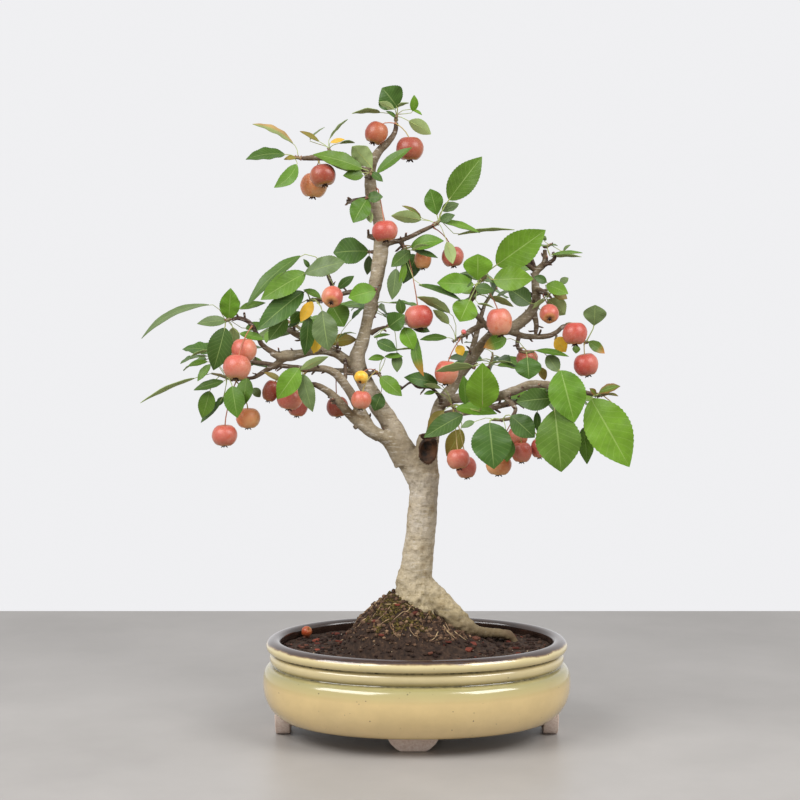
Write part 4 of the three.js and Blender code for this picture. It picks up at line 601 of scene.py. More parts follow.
# Fruit: name, where the stalks leave the wood [x, z, y], then an apple's centre x, z, y, its radius, its
# half-height and its axis x, z, y.
FRUIT = [
  ["tip", [-20.5, 616.6, -4.5], [[-40.5, 607, -6, 11.3, 11.3, 0.35, 0.9, 0.1],
    [-7, 591.5, -4, 13.7, 12, 0, 1, 0]]],
  ["lateral", [-98, 578, -9], [[-94, 565, -18, 13, 11, -0.2, 0.95, 0.2],
    [-103, 555, 6, 13.5, 12.5, 0.1, 1, 0]]],
  ["leader", [-38.6, 552, -2], [[-32, 509.5, -22, 13, 10.6, -0.1, 1, 0.1]]],
  ["spur_right", [18, 511.6, -9], [[36, 484, 2, 11.2, 10.3, -0.1, 1, 0]]],
  ["far_left_front", [-166, 412, -21], [[-174, 390, -24, 13, 12, 0, 1, 0],
    [-181, 373, -46, 14, 12.5, 0.1, 1, 0.2]]],
  ["left_centre", [-79, 449.8, 0], [[-85, 444, -30, 10.7, 10.2, 0.1, 0.6, 0.8]]],
  ["centre", [-3, 499, 2.4], [[2, 423.5, -16, 14.4, 12.2, -0.1, 1, 0.1],
    [6, 481, 4, 8.6, 9.4, 0, 1, 0.1]]],
  ["right_upper", [66.4, 455, -6], [[83, 418.5, -15, 13, 14, -0.1, 1, 0]]],
  ["twig_centre", [45, 399.4, -6.6], [[30, 367.5, -6, 12, 12.2, 0.1, 1, 0],
    [47, 408.6, -12, 2.6, 2.6, 0, 1, 0.4]]],
  ["right_shoulder", [127, 445.6, 1], [[133, 427, -14, 9.7, 9, 0, 0.6, 0.8]]],
  ["right_twig", [151, 418, 0], [[159, 406.8, -14, 12.5, 11.5, 0, 1, 0.1]]],
  ["right_mid", [168.6, 397, 3], [[170.5, 375.5, -4, 12.5, 11.5, -0.2, 1, 0]]],
  ["right_inner", [106.4, 392.6, 1.6], [[111, 382, 12, 11, 8.6, 0, 1, 0]]],
  ["far_left_low", [-182, 357, -9], [[-194, 304, -14, 12.8, 11, 0, 1, 0],
    [-170, 321.5, -8, 12.2, 10.4, 0, 1, 0]]],
  ["left_low", [-112, 366, -14.4], [[-147, 349, -4, 8.5, 11, 0.3, 1, 0],
    [-128, 341, -14, 13, 11, 0.1, 1, 0], [-120, 334, 9, 10.5, 11, 0.1, 1, 0]]],
  ["behind_limb", [-84.6, 360, -6], [[-80, 333, 10, 11, 10.4, -0.1, 1, 0]]],
  ["fork", [-43, 371, -9], [[-56, 340, -28, 10.2, 9.4, 0.1, 1, 0], [-56, 363, -30, 7, 6, 0.3, 1, 0.6]]],
  ["low_centre", [36.6, 331.6, 2], [[42, 280, -38, 11.6, 10.5, -0.1, 1, 0.1],
    [50, 271.5, -18, 10.5, 11, -0.1, 1, 0]]],
  ["low_front", [99, 320, -32], [[83, 274, -26, 13, 10.5, 0, 1, 0], [102, 303, -26, 10.5, 10, 0, 1, 0],
    [106, 287, -36, 10.5, 10.5, 0, 1, 0], [124, 291, -28, 9, 10, 0, 1, 0]]],
  ["low_right_end", [184, 347.6, -46.6], [[207, 311, -44, 10, 9.4, 0.1, 1, 0]]],
  ["fallen_on_soil", None, [[-112, 103.8, 46, 5.4, 5, 0.5, 0.6, -0.6]]],
]

# %% [markdown]
# ## Three masters
# A leaf is a thin board two units wide and long: a grid, toothed along both margins and given thickness. Its
# own map keeps where a point lies across and along the leaf, which the veins follow later. A stem is a
# cylinder one unit high, cut into rings so that it can bend. An apple starts as a sphere, whose rings are
# resized and slid one by one until the flesh has its two hollows.

# %% Master leaves
def master_leaf(name, across, along, tooth):
    """A leaf of so many squares across and along, every other margin corner pulled out by a share, tooth."""
    bpy.ops.mesh.primitive_grid_add(x_subdivisions=across, y_subdivisions=along, size=2)
    leaf = bpy.context.object
    leaf.name = name
    edit(leaf)
    pick(leaf, lambda v: abs(v.co.x) > 0.99 and round((v.co.y + 1) * along / 2) % 2 == 1)
    bpy.ops.transform.resize(value=(1 + tooth, 1, 1))
    apply(leaf, "SOLIDIFY", thickness=2, offset=0)
    masters.append(leaf)
    return leaf


let_go()
BROAD_LEAF = master_leaf("leaf_broad", 6, 34, 0.04)
NARROW_LEAF = master_leaf("leaf_narrow", 4, 18, 0.035)
SMALL_LEAF = master_leaf("leaf_small", 2, 7, 0.0)
print("faces of the leaf masters", [len(m.data.polygons) for m in masters])


# %% Master stems
def master_tube(name, sides, rings):
    """A closed tube, one unit long, cut into rings."""
    bpy.ops.mesh.primitive_cylinder_add(vertices=sides, radius=1, depth=1, location=(0, 0, 0.5))
    bpy.ops.object.transform_apply(location=True)
    tube = bpy.context.object
    tube.name = name
    edit(tube, EDGE)
    pick(tube, lambda e: abs(e.verts[0].co.z - e.verts[1].co.z) > 0.5, "edges")
    bpy.ops.mesh.subdivide(number_cuts=rings - 1)
    let_go()
    masters.append(tube)
    return tube


let_go()
THICK_STEM = master_tube("stem_thick", 16, 48)
TWIG_STEM = master_tube("stem_twig", 10, 30)
THIN_STEM = master_tube("stem_thin", 8, 16)
STALK = master_tube("stalk", 5, 7)

# %% Master apple and its dry calyx
APPLE_RINGS = [  # [share of the radius, share of the half-height], from the calyx up to the stalk's hollow
    (0.10, -0.77), (0.25, -0.83), (0.41, -0.89), (0.58, -0.86), (0.77, -0.69), (0.92, -0.42), (1.01, -0.10),
    (1.00, 0.21), (0.93, 0.48), (0.79, 0.73), (0.60, 0.91), (0.43, 0.97), (0.27, 0.93), (0.13, 0.80),
]
APPLE_POLES = (-0.74, 0.73)
APPLE_LIFT = 10


def master_apple():
    """A sphere whose rings are resized and slid. Those done wait higher up, out of the picker's way."""
    rings = len(APPLE_RINGS) + 1
    bpy.ops.mesh.primitive_uv_sphere_add(segments=20, ring_count=rings, radius=1)
    apple = bpy.context.object
    apple.name = "apple"
    heights = [-math.cos(math.pi * k / rings) for k in range(rings + 1)]
    edit(apple)
    for k, z in enumerate(heights):
        bpy.ops.mesh.select_all(action="DESELECT")
        pick(apple, lambda v: abs(v.co.z - z) < 1e-3)
        if 0 < k < rings:
            share, level = APPLE_RINGS[k - 1]
            grow = share / math.sqrt(1 - z * z)
            bpy.ops.transform.resize(value=(grow, grow, 1))
        else:
            level = APPLE_POLES[0 if k == 0 else 1]
        bpy.ops.transform.translate(value=(0, 0, level - z + APPLE_LIFT))
    bpy.ops.mesh.select_all(action="SELECT")
    bpy.ops.transform.translate(value=(0, 0, -APPLE_LIFT))
    let_go()
    masters.append(apple)
    return apple


let_go()
APPLE = master_apple()
bpy.ops.mesh.primitive_cone_add(vertices=5, radius1=0.30, radius2=0.12, depth=0.4, end_fill_type="NOTHING",
                                location=(0, 0, -0.90))
CALYX = bpy.context.object
CALYX.name = "calyx"
bpy.ops.object.transform_apply(location=True)
edit(CALYX, EDGE)
pick(CALYX, lambda e: e.is_boundary and e.verts[0].co.z < -1, "edges")
bpy.ops.mesh.subdivide(number_cuts=1)
bpy.ops.mesh.select_all(action="DESELECT")
edit(CALYX)
pick(CALYX, lambda v: v.co.z < -1 and math.hypot(v.co.x, v.co.y) < 0.27)
bpy.ops.transform.resize(value=(0.55, 0.55, 1))
bpy.ops.transform.translate(value=(0, 0, 0.16))
apply(CALYX, "SOLIDIFY", thickness=0.05)
masters.append(CALYX)
print("faces of the apple", len(APPLE.data.polygons), "and of its calyx", len(CALYX.data.polygons))

# %% [markdown]
# ## How stems bend
# A stem is given by stations, each a place and a radius. The rings of the master are laid on a smooth line
# through them, and each ring's first side is carried from the one before, so the stem doesn't twist.

# %% Laying a stem along its stations
def smooth_at(rows, t):
    """Where a smooth line through the rows is, from 0 at the first to 1 at the last."""
    last = len(rows) - 1
    i = min(int(t * last), last - 1)
    u = t * last - i
    a, b, c, d = rows[max(i - 1, 0)], rows[i], rows[i + 1], rows[min(i + 2, last)]
    bent = (2 * a - 5 * b + 4 * c - d) * u ** 2 + (3 * b - a - 3 * c + d) * u ** 3
    return 0.5 * (2 * b + (c - a) * u + bent)


def lay_tube(master, stations, colours=None):
    """A copy of a tube along stations of [x, y, z, radius], in metres."""
    rows = np.asarray(stations, float)
    corners = corners_of(master)
    levels = np.unique(corners[:, 2].round(4))
    rings = np.array([smooth_at(rows, t) for t in levels])
    run = np.gradient(rings[:, :3], axis=0)
    run /= np.linalg.norm(run, axis=1)[:, None]
    side = np.array((0, 0, 1) if abs(run[0, 2]) < 0.9 else (0, 1, 0), float)
    sides = []
    for direction in run:
        side = side - direction * side.dot(direction)
        side /= np.linalg.norm(side)
        sides.append(side)
    sides = np.array(sides)
    ups = np.cross(run, sides)
    at = np.searchsorted(levels, corners[:, 2].round(4))
    offset = corners[:, :1] * sides[at] + corners[:, 1:2] * ups[at]
    return copy_of(master, rings[at, :3] + rings[at, 3:] * offset, colours)


def stations_of(rows, depth=1.0):
    """A table's stem as stations in metres."""
    return [[*place(x, z, y * depth), radius * MM] for x, z, y, radius in rows]


# %% [markdown]
# ## The pot
# A bonsai pot like this is pressed from stoneware clay, dipped in a cream glaze, given a brown one over the
# lip and inside, and fired. Its plan is an oval, a little squarer than an ellipse. It grows here from one
# oval ring: the ring is extruded and resized again and again, up the belly, over the ridge, over the
# rolled lip and down the inside. The line between the given points is rounded, as clay is. The soil grows in
# the same way later on.

# %% The pot's wall
POT_A, POT_B = 152 * MM, 119 * MM  # half-length and half-width at the rim
POT_SIDES = 112
OVAL_POWER = 2.1
POT_WALL = np.array([  # [how far in from the rim's outline, height], in millimetres
    (27, 16), (14, 18.5), (4.6, 26), (-1.4, 36), (-4.0, 46), (-4.4, 55), (-3.6, 62.5), (-1.4, 67.6),
    (2.6, 70.6), (6.2, 71.5), (5.4, 73), (3.2, 75.2), (2.4, 78), (3.0, 81.4), (5.0, 83.7), (6.0, 84.6),
    (4.2, 85.5), (0.6, 86.8), (-0.9, 90), (-0.3, 93.4), (2.4, 96.4), (6.5, 98), (10.5, 97.6), (13.2, 95.6),
    (14, 92.4), (11.9, 84), (9, 72), (6, 46), (20, 30), (30, 25.5),
]) * MM
WALL_STEPS = 78


def out_from_middle(x, y):
    """How far out a place of the plan is, as a share of an oval that reaches 1 on both axes."""
    return (abs(x) ** OVAL_POWER + abs(y) ** OVAL_POWER) ** (1 / OVAL_POWER)


def oval_body(name, sides, rings):
    """A closed body from oval rings of (half-length, half-width, height), in metres."""
    let_go()
    bpy.ops.mesh.primitive_circle_add(vertices=sides, radius=1)
    body = bpy.context.object
    body.name = body.data.name = name
    edit(body)
    mesh = bmesh.from_edit_mesh(body.data)
    for v in mesh.verts:
        v.co.x, v.co.y = [math.copysign(abs(c) ** (2 / OVAL_POWER), c) for c in (v.co.x, v.co.y)]
    bmesh.update_edit_mesh(body.data)
    bpy.ops.mesh.select_all(action="SELECT")
    bpy.ops.mesh.edge_face_add()
    before = (1, 1, 0)
    for k, ring in enumerate(rings):
        if k:
            bpy.ops.mesh.extrude_region_move()
        bpy.ops.transform.resize(value=(ring[0] / before[0], ring[1] / before[1], 1))
        bpy.ops.transform.translate(value=(0, 0, ring[2] - before[2]))
        before = ring
    bpy.ops.mesh.select_all(action="SELECT")
    bpy.ops.transform.translate(value=MIDDLE)
    bpy.ops.mesh.normals_make_consistent(inside=False)
    let_go()
    return body


wall = [smooth_at(POT_WALL, k / WALL_STEPS) for k in range(WALL_STEPS + 1)]
pot = oval_body("glazed_pot", POT_SIDES, [(POT_A - inset, POT_B - inset, height) for inset, height in wall])
print("pot", len(pot.data.polygons), "faces", [round(v * 1000) for v in pot.dimensions])

# %% [markdown]
# The water runs out through two round holes in the floor, drilled here with two cylinders. The faces of the
# inside get their own glaze: they are found by how far in from the rim's outline they lie.

# %% Drain holes
HOLE_RADIUS, HOLE_X, HOLE_Z = 11 * MM, 62 * MM, 20 * MM
DRILL_LENGTH = 30 * MM
for x in (-HOLE_X, HOLE_X):
    let_go()
    bpy.ops.mesh.primitive_cylinder_add(vertices=32, radius=HOLE_RADIUS, depth=DRILL_LENGTH,
                                        location=MIDDLE + Vector((x, 0, HOLE_Z)))
    drill = bpy.context.object
    apply(pot, "BOOLEAN", operation="DIFFERENCE", object=drill, solver="EXACT")
    bpy.data.objects.remove(drill)

# %% [markdown]
# ## The feet
# Four half-round feet of bare clay were stuck on before firing. Each is a strip whose lower edge is drawn
# down along the foot's curve, thickened and with its edges rounded.

# %% Feet
FEET = [(0, -4, -73), (0, 0, 73), (90, 136, 4), (90, -136, 4)]  # turn in degrees, x and y in millimetres
FOOT_CURVE = np.array([(30, 24), (26, 14), (22, 7.4), (17, 2.6), (12.4, 0), (0, 0)]) * MM
FOOT_DEPTH, FOOT_ROUNDING = 15 * MM, 1.4 * MM
FOOT_COLUMNS = 10
feet = []
for turn, x, y in FEET:
    let_go()
    bpy.ops.mesh.primitive_grid_add(x_subdivisions=FOOT_COLUMNS, y_subdivisions=1, size=1)
    foot = bpy.context.object
    edit(foot)
    shape = bmesh.from_edit_mesh(foot.data)
    for v in shape.verts:
        column = round(abs(v.co.x) * FOOT_COLUMNS)
        half, low = FOOT_CURVE[FOOT_COLUMNS // 2 - column]
        top = FOOT_CURVE[0][1]
        v.co = (math.copysign(half, v.co.x), 0, low if v.co.y < 0 else top)
    bmesh.update_edit_mesh(foot.data)
    bpy.ops.mesh.select_all(action="SELECT")
    bpy.ops.mesh.remove_doubles(threshold=1e-5)
    apply(foot, "SOLIDIFY", thickness=FOOT_DEPTH, offset=0)
    apply(foot, "BEVEL", width=FOOT_ROUNDING, segments=2, limit_method="ANGLE")
    foot.rotation_euler.z = math.radians(turn)
    foot.location = MIDDLE + Vector((x, y, 0)) * MM
    feet.append(foot)
feet = joined(feet, "clay_feet")

# %% [markdown]
# **Cream glaze over stoneware.** Glossy glass over clay: a clear coat gives the sharp highlights. It is
# warm beige where it is thick, turns greenish where it ran thin under the ridge, and gathers dark iron specks
# in the grooves. Above the lip's edge the brown glaze takes over, with a wavering border.

# %% Glazes and bare clay
GROOVES = (71.6, 84.6)  # heights of the grooves in millimetres
POOL = 1.4  # half-width of the dark line in a groove, in millimetres
TOP = 98.0  # height of the lip, in millimetres

cream_glaze, tree, shader = begin_material("cream_stoneware_glaze", Roughness=0.16, IOR=1.52,
                                           Coat_Weight=0.6, Coat_Roughness=0.05)
coords = put(tree, "TexCoord").outputs["Object"]
height = put(tree, "SeparateXYZ", {0: coords}).outputs["Z"]
wobble = put(tree, "TexNoise", {"Vector": coords, "Scale": 34.0, "Detail": 5.0, "Roughness": 0.65}).outputs[0]
fine = put(tree, "TexNoise", {"Vector": coords, "Scale": 260.0, "Detail": 4.0, "Roughness": 0.7}).outputs[0]
shift = put(tree, "MapRange", {0: wobble, 1: 0.3, 2: 0.7, 3: -0.011, 4: 0.011}).outputs[0]
level = put(tree, "MapRange", {0: height, 1: 0.0, 2: TOP * MM, 3: 0.0, 4: 1.0}).outputs[0]
wavering = put(tree, "Math", {0: level, 1: shift}, operation="ADD").outputs[0]
# Just above the bottom the cream is painted lighter, painted light from below; at the lowest edge it is darker
# again.
body = put(tree, "ValToRGB", {"Fac": wavering}, stops=[
    (0.165, "c4a878"), (0.21, "e2c68e"), (0.36, "d9be86"), (0.57, "d0b67f"), (0.64, "b5a56e"),
    (0.705, "98905f"), (0.755, "c2b282"), (0.85, "cbba8a"), (0.955, "cdbd8b"), (0.966, "7a6040"),
    (0.976, "33211a")]).outputs["Color"]
cloud = put(tree, "ValToRGB", {"Fac": wobble}, stops=[(0.3, 0.90), (0.7, 1.04)]).outputs["Color"]
clouded = put(tree, "Mix", {0: 1.0, 6: body, 7: cloud}, data_type="RGBA", blend_type="MULTIPLY").outputs[2]
stops = [(0.0, 0.0)]
for groove in GROOVES:
    stops += [((groove - POOL) / TOP, 0.0), (groove / TOP, 1.0), ((groove + POOL) / TOP, 0.0)]
line = put(tree, "ValToRGB", {"Fac": level}, stops=stops).outputs["Color"]
broken = put(tree, "MapRange", {0: wobble, 1: 0.36, 2: 0.56, 3: 0.35, 4: 1.0}).outputs[0]
specks = put(tree, "MapRange", {0: fine, 1: 0.40, 2: 0.60, 3: 0.45, 4: 1.0}).outputs[0]
pooled = put(tree, "Math", {0: broken, 1: specks}, operation="MULTIPLY").outputs[0]
pooled = put(tree, "Math", {0: pooled, 1: line}, operation="MULTIPLY").outputs[0]
grooved = put(tree, "Mix", {0: pooled, 6: clouded, 7: linear("2f2f20")}, data_type="RGBA").outputs[2]
iron = put(tree, "TexVoronoi", {"Vector": coords, "Scale": 120.0, "Randomness": 1.0}).outputs["Distance"]
dots = put(tree, "MapRange", {0: iron, 1: 0.06, 2: 0.10, 3: 1.0, 4: 0.0}).outputs[0]
few = put(tree, "MapRange", {0: fine, 1: 0.51, 2: 0.55, 3: 0.0, 4: 1.0}).outputs[0]
dots = put(tree, "Math", {0: dots, 1: few}, operation="MULTIPLY").outputs[0]
specked = put(tree, "Mix", {0: dots, 6: grooved, 7: linear("3a3122")}, data_type="RGBA").outputs[2]
tree.links.new(specked, shader.inputs["Base Color"])
bump = put(tree, "Bump", {"Height": fine, "Strength": 0.05, "Distance": 0.3 * MM})
tree.links.new(bump.outputs["Normal"], shader.inputs["Normal"])

brown_glaze = grained("brown_iron_glaze", 60.0, 5.0, 0.6, [(0.3, "1f1512"), (0.7, "3b2a22")],
                      Roughness=0.2, IOR=1.52, Coat_Weight=0.5)
bare_clay = grained("bare_fired_clay", 420.0, 6.0, 0.7, [(0.3, "cdb3a3"), (0.55, "e6d3c6"), (0.75, "f0e4da")],
                    bump=(0.4, 0.4), Roughness=0.85)
done(pot, ["pot"], "pot_glaze", cream_glaze, brown_glaze)
INSIDE = 0.925  # of the rim's reach
FLOOR_TOP = 24 * MM  # the glaze of the inside ends just under the floor's upper side
for face in pot.data.polygons:
    x, y, z = face.center - MIDDLE
    if z > FLOOR_TOP and out_from_middle(x / POT_A, y / POT_B) < INSIDE:
        face.material_index = 1
done(feet, [], "pot_glaze", bare_clay)
print("pot and feet", len(pot.data.polygons), len(feet.data.polygons))

# %% [markdown]
# ## The soil
# Dark potting earth fills the pot and rises to a mound round the trunk: a round heap on the left that falls
# away under the big root on the right. It is one body like the pot: an oval grown ring by ring, up the pot's
# inside and then in to the middle. Then each corner is lifted to the mound's height, with the same mound
# formula as the packed soil and a crumbly noise on top.

# %% Soil
SOIL_EDGE, MOUND_TOP = 88, 148
MOUND = {"x": -2, "left": 78, "right": 95, "depth": 72}  # its middle, and how far it reaches
ROUND, HOLLOW = 2, 1.5  # powers of its curve on the left and on the right
SOIL_SIDES, SOIL_STEPS = 300, 84
SOIL_GAP = 0.4  # between soil and pot
LUMP, CRUMBLE = 17, 4.2  # sizes of the lumps and of the crumbs
SUNK = 0.6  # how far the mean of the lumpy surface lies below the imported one
LIP = 14  # how far in the rolled lip reaches
TUCK = 0.6  # how far the surface reaches under it


def soil_level(x, y):
    """Height of the soil at a place of the plan, all in millimetres from the pot's middle."""
    u = (x - MOUND["x"]) / MOUND["left" if x < MOUND["x"] else "right"]
    reach = max(math.hypot(u, y / MOUND["depth"]), 1e-6)
    away, rightward = min(reach, 1), (1 + u / reach) / 2
    heap = (1 - away ** ROUND) * (1 - rightward) + (1 - away) ** HOLLOW * rightward
    rise = heap * (MOUND_TOP - SOIL_EDGE)
    lumps = noise.fractal(Vector((x, y, 3)) / LUMP, 1.0, 2.1, 3) * (1.2 + 0.04 * rise)
    crumbs = noise.fractal(Vector((x, y, 9)) / CRUMBLE, 0.8, 2.2, 3) * (0.8 + 0.022 * rise)
    return SOIL_EDGE - SUNK + rise + lumps + crumbs


soil_rings = []
for inset, z in POT_WALL[:-5:-1] / MM:  # the wall's last four points, from the floor up
    soil_rings.append((POT_A - (inset + SOIL_GAP) * MM, POT_B - (inset + SOIL_GAP) * MM, (z + SOIL_GAP) * MM))
edge = (POT_A - (LIP - TUCK) * MM, POT_B - (LIP - TUCK) * MM)
for k in range(SOIL_STEPS):
    share = 1 - k / SOIL_STEPS
    soil_rings.append((edge[0] * share, edge[1] * share, SOIL_EDGE * MM))
soil = oval_body("potting_soil", SOIL_SIDES, soil_rings)
corners = corners_of(soil)
for corner in corners:
    if corner[2] > (SOIL_EDGE - 1) * MM:
        x, y = (corner[0] - MIDDLE.x) / MM, (corner[1] - MIDDLE.y) / MM
        corner[2] = soil_level(x, y) * MM
move_corners(soil, corners)
print("soil", len(soil.data.polygons), "faces, top at", round(corners[:, 2].max() / MM, 1), "mm")

# %% [markdown]
# The crumbs on it repeat: earth, red-brown bits of bark, pale grit and, on the mound's upper left, moss. Each
# is one small master, squashed, turned and dropped on the surface at random; the dice are seeded, so they
# always fall the same way.

# %% Crumbs, bark bits, grit and moss
earth_dice = random.Random(11)
bpy.ops.mesh.primitive_ico_sphere_add(subdivisions=1, radius=1)
CRUMB = bpy.context.object
CRUMB.name = "crumb"
let_go()
bpy.ops.mesh.primitive_cube_add(size=2)
CHIP = bpy.context.object
CHIP.name = "bark_bit"
apply(CHIP, "BEVEL", width=0.3, segments=1)
masters += [CRUMB, CHIP]


def turned(master, size, squash, heading, tilt):
    """The master's corners scaled by three sizes, squashed upwards, then tilted and turned."""
    grow = np.array((size, size * earth_dice.uniform(0.6, 1.0), size * squash))
    turn = Matrix.Rotation(heading, 3, "Z") @ Matrix.Rotation(tilt, 3, "X")
    return (corners_of(master) * grow) @ np.array(turn).T


def shaken(shade, amount):
    """A colour a little lighter or darker than the one given."""
    lift = earth_dice.uniform(1 - amount, 1 + amount)
    r, g, b, a = linear(shade)
    return (r * lift, g * lift, b * lift, a)


BED_A, BED_B = 137, 104  # half-length and half-width of the oval that the bits fall on
FULL = 0.985  # bits lie within this share of it
SMALL_MANY = 2.2  # the higher, the more of the bits are small ones


def scatter(master, count, low, high, shades, squash=0.75, area=None, sink=0.35):
    """Copies of a master, low to high in radius, dropped on the soil where area says yes."""
    made = []
    while len(made) < count:
        x, y = earth_dice.uniform(1 - BED_A, BED_A - 1), earth_dice.uniform(1 - BED_B, BED_B - 1)
        if out_from_middle(x / BED_A, y / BED_B) > FULL or (area and not area(x, y)):
            continue
        size = low + (high - low) * earth_dice.random() ** SMALL_MANY
        shape = turned(master, size, squash, earth_dice.uniform(0, math.tau), earth_dice.uniform(-0.5, 0.5))
        place_at = np.array((x, y, soil_level(x, y) + size * squash * (1 - 2 * sink)))
        made.append(copy_of(master, (shape + place_at) * MM + np.array(MIDDLE),
                            shaken(earth_dice.choice(shades), 0.25)))
    return made


MOSS_MIDDLE, MOSS_REACH, CUSHION = (-16, -18), (36, 34), 9
MOUND_ABOVE = 101  # height above which the crumbs take the lighter browns


def mossy(x, y):
    """Where moss grows: the mound's upper left and front, near the trunk."""
    near = math.hypot((x - MOSS_MIDDLE[0]) / MOSS_REACH[0], (y - MOSS_MIDDLE[1]) / MOSS_REACH[1])
    return near < 1 and noise.noise(Vector((x, y, 0)) / CUSHION) + 0.55 > near * 0.8


def on_mound(x, y):
    """The raised part, where the crumbs are lighter brown."""
    return soil_level(x, y) > MOUND_ABOVE


def on_level(x, y):
    return not on_mound(x, y)


# Crumbs on the level soil are almost black, those on the raised mound a lighter brown.
LEVEL_EARTH, MOUND_EARTH = ("38281f", "2a1d17", "453227", "301f18"), ("6f5542", "5c4535", "80674f", "4d392c", "3c2a20")
BARK_BITS, GRIT = ("6a3428", "7a3d2e", "54291f", "5f3a2c"), ("d9cdb8", "b8a68c", "a8957a")
MOSS = ("5e5026", "4e4320", "6c5c2e", "463b1e")
bits = scatter(CRUMB, 1000, 0.9, 3.6, LEVEL_EARTH, area=on_level)
bits += scatter(CRUMB, 1300, 0.7, 3.2, MOUND_EARTH, area=on_mound)
bits += scatter(CHIP, 130, 1.0, 4.4, BARK_BITS, squash=0.3, sink=0.2)
bits += scatter(CRUMB, 130, 0.4, 1.1, GRIT, sink=0.2)
moss = scatter(CRUMB, 1700, 0.6, 1.8, MOSS, squash=0.9, area=mossy)
print(len(bits), "bits and", len(moss), "cushions of moss")

# %% [markdown]
# Fine dead rootlets lie about the mound, and one pale one sticks out at the left. Each is a thin stem laid on
# the surface along a short wandering path, mostly downhill.

# %% Rootlets
ROOTLETS = 80
PALE_PLACE = (-50, 18)
RING_A, RING_B = 66, 56  # half-axes of the oval that the others start in
rootlets = []
for k in range(ROOTLETS + 1):
    pale = k == 0
    turn = math.pi if pale else earth_dice.uniform(0, math.tau)
    away = earth_dice.uniform(0.35, 0.8)
    x, y = PALE_PLACE if pale else (-4 + RING_A * away * math.cos(turn), RING_B * away * math.sin(turn))
    girth = 0.75 if pale else earth_dice.uniform(0.3, 0.75)
    heading, stations = turn + (-0.6 if pale else earth_dice.uniform(-1.2, 1.2)), []
    for step in range(5):
        lift = 0.4 + 1.4 * math.sin(math.pi * step / 4)
        here = Vector((x, y, soil_level(x, y) + lift)) * MM + MIDDLE
        stations.append([*here, girth * (1 - step / 7) * MM])
        stride = 8 if pale else earth_dice.uniform(2.5, 5.5)
        heading += earth_dice.uniform(-0.6, 0.6)
        x, y = x + stride * math.cos(heading), y + stride * math.sin(heading)
    tan = "c9a982" if pale else earth_dice.choice(("a5896a", "8c7054", "b79d78", "74583f"))
    rootlets.append(lay_tube(STALK, stations, linear(tan)))

# %% [markdown]
# ** Potting earth.** Matt, almost black on the level soil and browner on the raised mound. The material reads
# each crumb's own colour; the surface below gets the same browns from a noise. **Moss** is the same kind of
# surface in olive-brown.

# %% Earth and moss
SOIL_GRAIN = 230.0, 6.0, 0.7
MATT = {"Roughness": 0.92, "Specular_IOR_Level": 0.25}
EARTH_TONES = [(0.32, "1c1410"), (0.5, "31241c"), (0.68, "4a382b")]
moist_earth = grained("moist_potting_earth", *SOIL_GRAIN, EARTH_TONES, bump=(0.9, 0.8), **MATT)
tinted_earth_bits = grained("tinted_earth_bits", *SOIL_GRAIN, [(0.3, 0.45), (0.7, 1.25)], True, (0.6, 0.8), **MATT)
soft_moss = grained("soft_moss", *SOIL_GRAIN, [(0.3, 0.5), (0.7, 1.05)], True, (1.0, 0.8), **MATT)
done(soil, ["soil"], "soil", moist_earth)
done(joined(bits, "soil_crumbs"), [], "soil", tinted_earth_bits, smooth=0)
done(joined(rootlets, "dead_rootlets"), [], "soil", tinted_earth_bits, smooth=60)
done(joined(moss, "moss_on_mound"), [], "soil", soft_moss, smooth=0)

# %% [markdown]
# ## The wood
# Trunk, limbs, twigs and roots are one living body. Each is laid as a tube along its stations; the thick
# ones are then fused by a voxel remesh, as wood grows together at its forks, and smoothed. Noise pushes the
# surface in and out: bulges, knots, ridges along the bark. The thin twigs stay apart, as they were laid, and
# get the same noise.

# %% Stems, fused and roughened
STOUT = 3.5  # stems that start thicker than this radius are fused, in millimetres
GIRTH_SCALE = 20.0  # the radius that stands for 1 in the painted attribute
LEAST_SHADE = 0.02
wood_dice = random.Random(4)


def girth_paint(tube, master, rows):
    """Paints how thick the stem is at each corner: this tells old bark from young."""
    table = np.array([[row[3]] for row in rows])
    girths = np.array([smooth_at(table, t)[0] for t in corners_of(master)[:, 2]])
    shade = np.clip(girths / GIRTH_SCALE, LEAST_SHADE, 1)
    paint(tube, np.stack([shade, shade, shade, np.ones_like(shade)], 1))


stout, slender = [], []
for rows, depth in [(r, CROWN_DEPTH) for _, r in WOOD] + [(r, 1) for _, r in ROOTS]:
    stations = stations_of(rows, depth)
    master = THICK_STEM if rows[0][3] > STOUT else TWIG_STEM
    tube = lay_tube(master, stations)
    girth_paint(tube, master, rows)
    (stout if master is THICK_STEM else slender).append(tube)


# %% [markdown]
# Limbs and twigs are set with short fruiting spurs, each ending in one to three buds, and every shoot breaks
# from a knot of bud scales. The spurs are laid like the twigs; a scale is a small long egg.

# %% Spurs and bud scales
let_go()
bpy.ops.mesh.primitive_ico_sphere_add(subdivisions=1, radius=1)
SCALE = bpy.context.object
SCALE.name = "bud_scale"
let_go()
masters.append(SCALE)
SPUR_EVERY = 15  # millimetres of stem for each spur
SPUR_SHADE = (0.1, 0.1, 0.1, 1)
SPURLESS = 3  # so many stems at the head of the table bear no spurs
BUD_SHAPE = (0.62, 0.62, 1.25)
BUD_COLOURS = ("6b4434", "53362a", "8a6650", "7a4a38")
scales = []


def bud(at, heading, size):
    """A bud scale: a long egg that points along its heading."""
    turn = np.array(heading.to_track_quat("Z", "Y").to_matrix())
    grow = np.array(BUD_SHAPE) * size * MM
    shade = linear(wood_dice.choice(BUD_COLOURS))
    scales.append(copy_of(SCALE, (corners_of(SCALE) * grow) @ turn.T + np.array(at), shade))


def any_way():
    """A direction by the dice, all ways alike."""
    return Vector([wood_dice.gauss(0, 1) for _ in range(3)]).normalized()


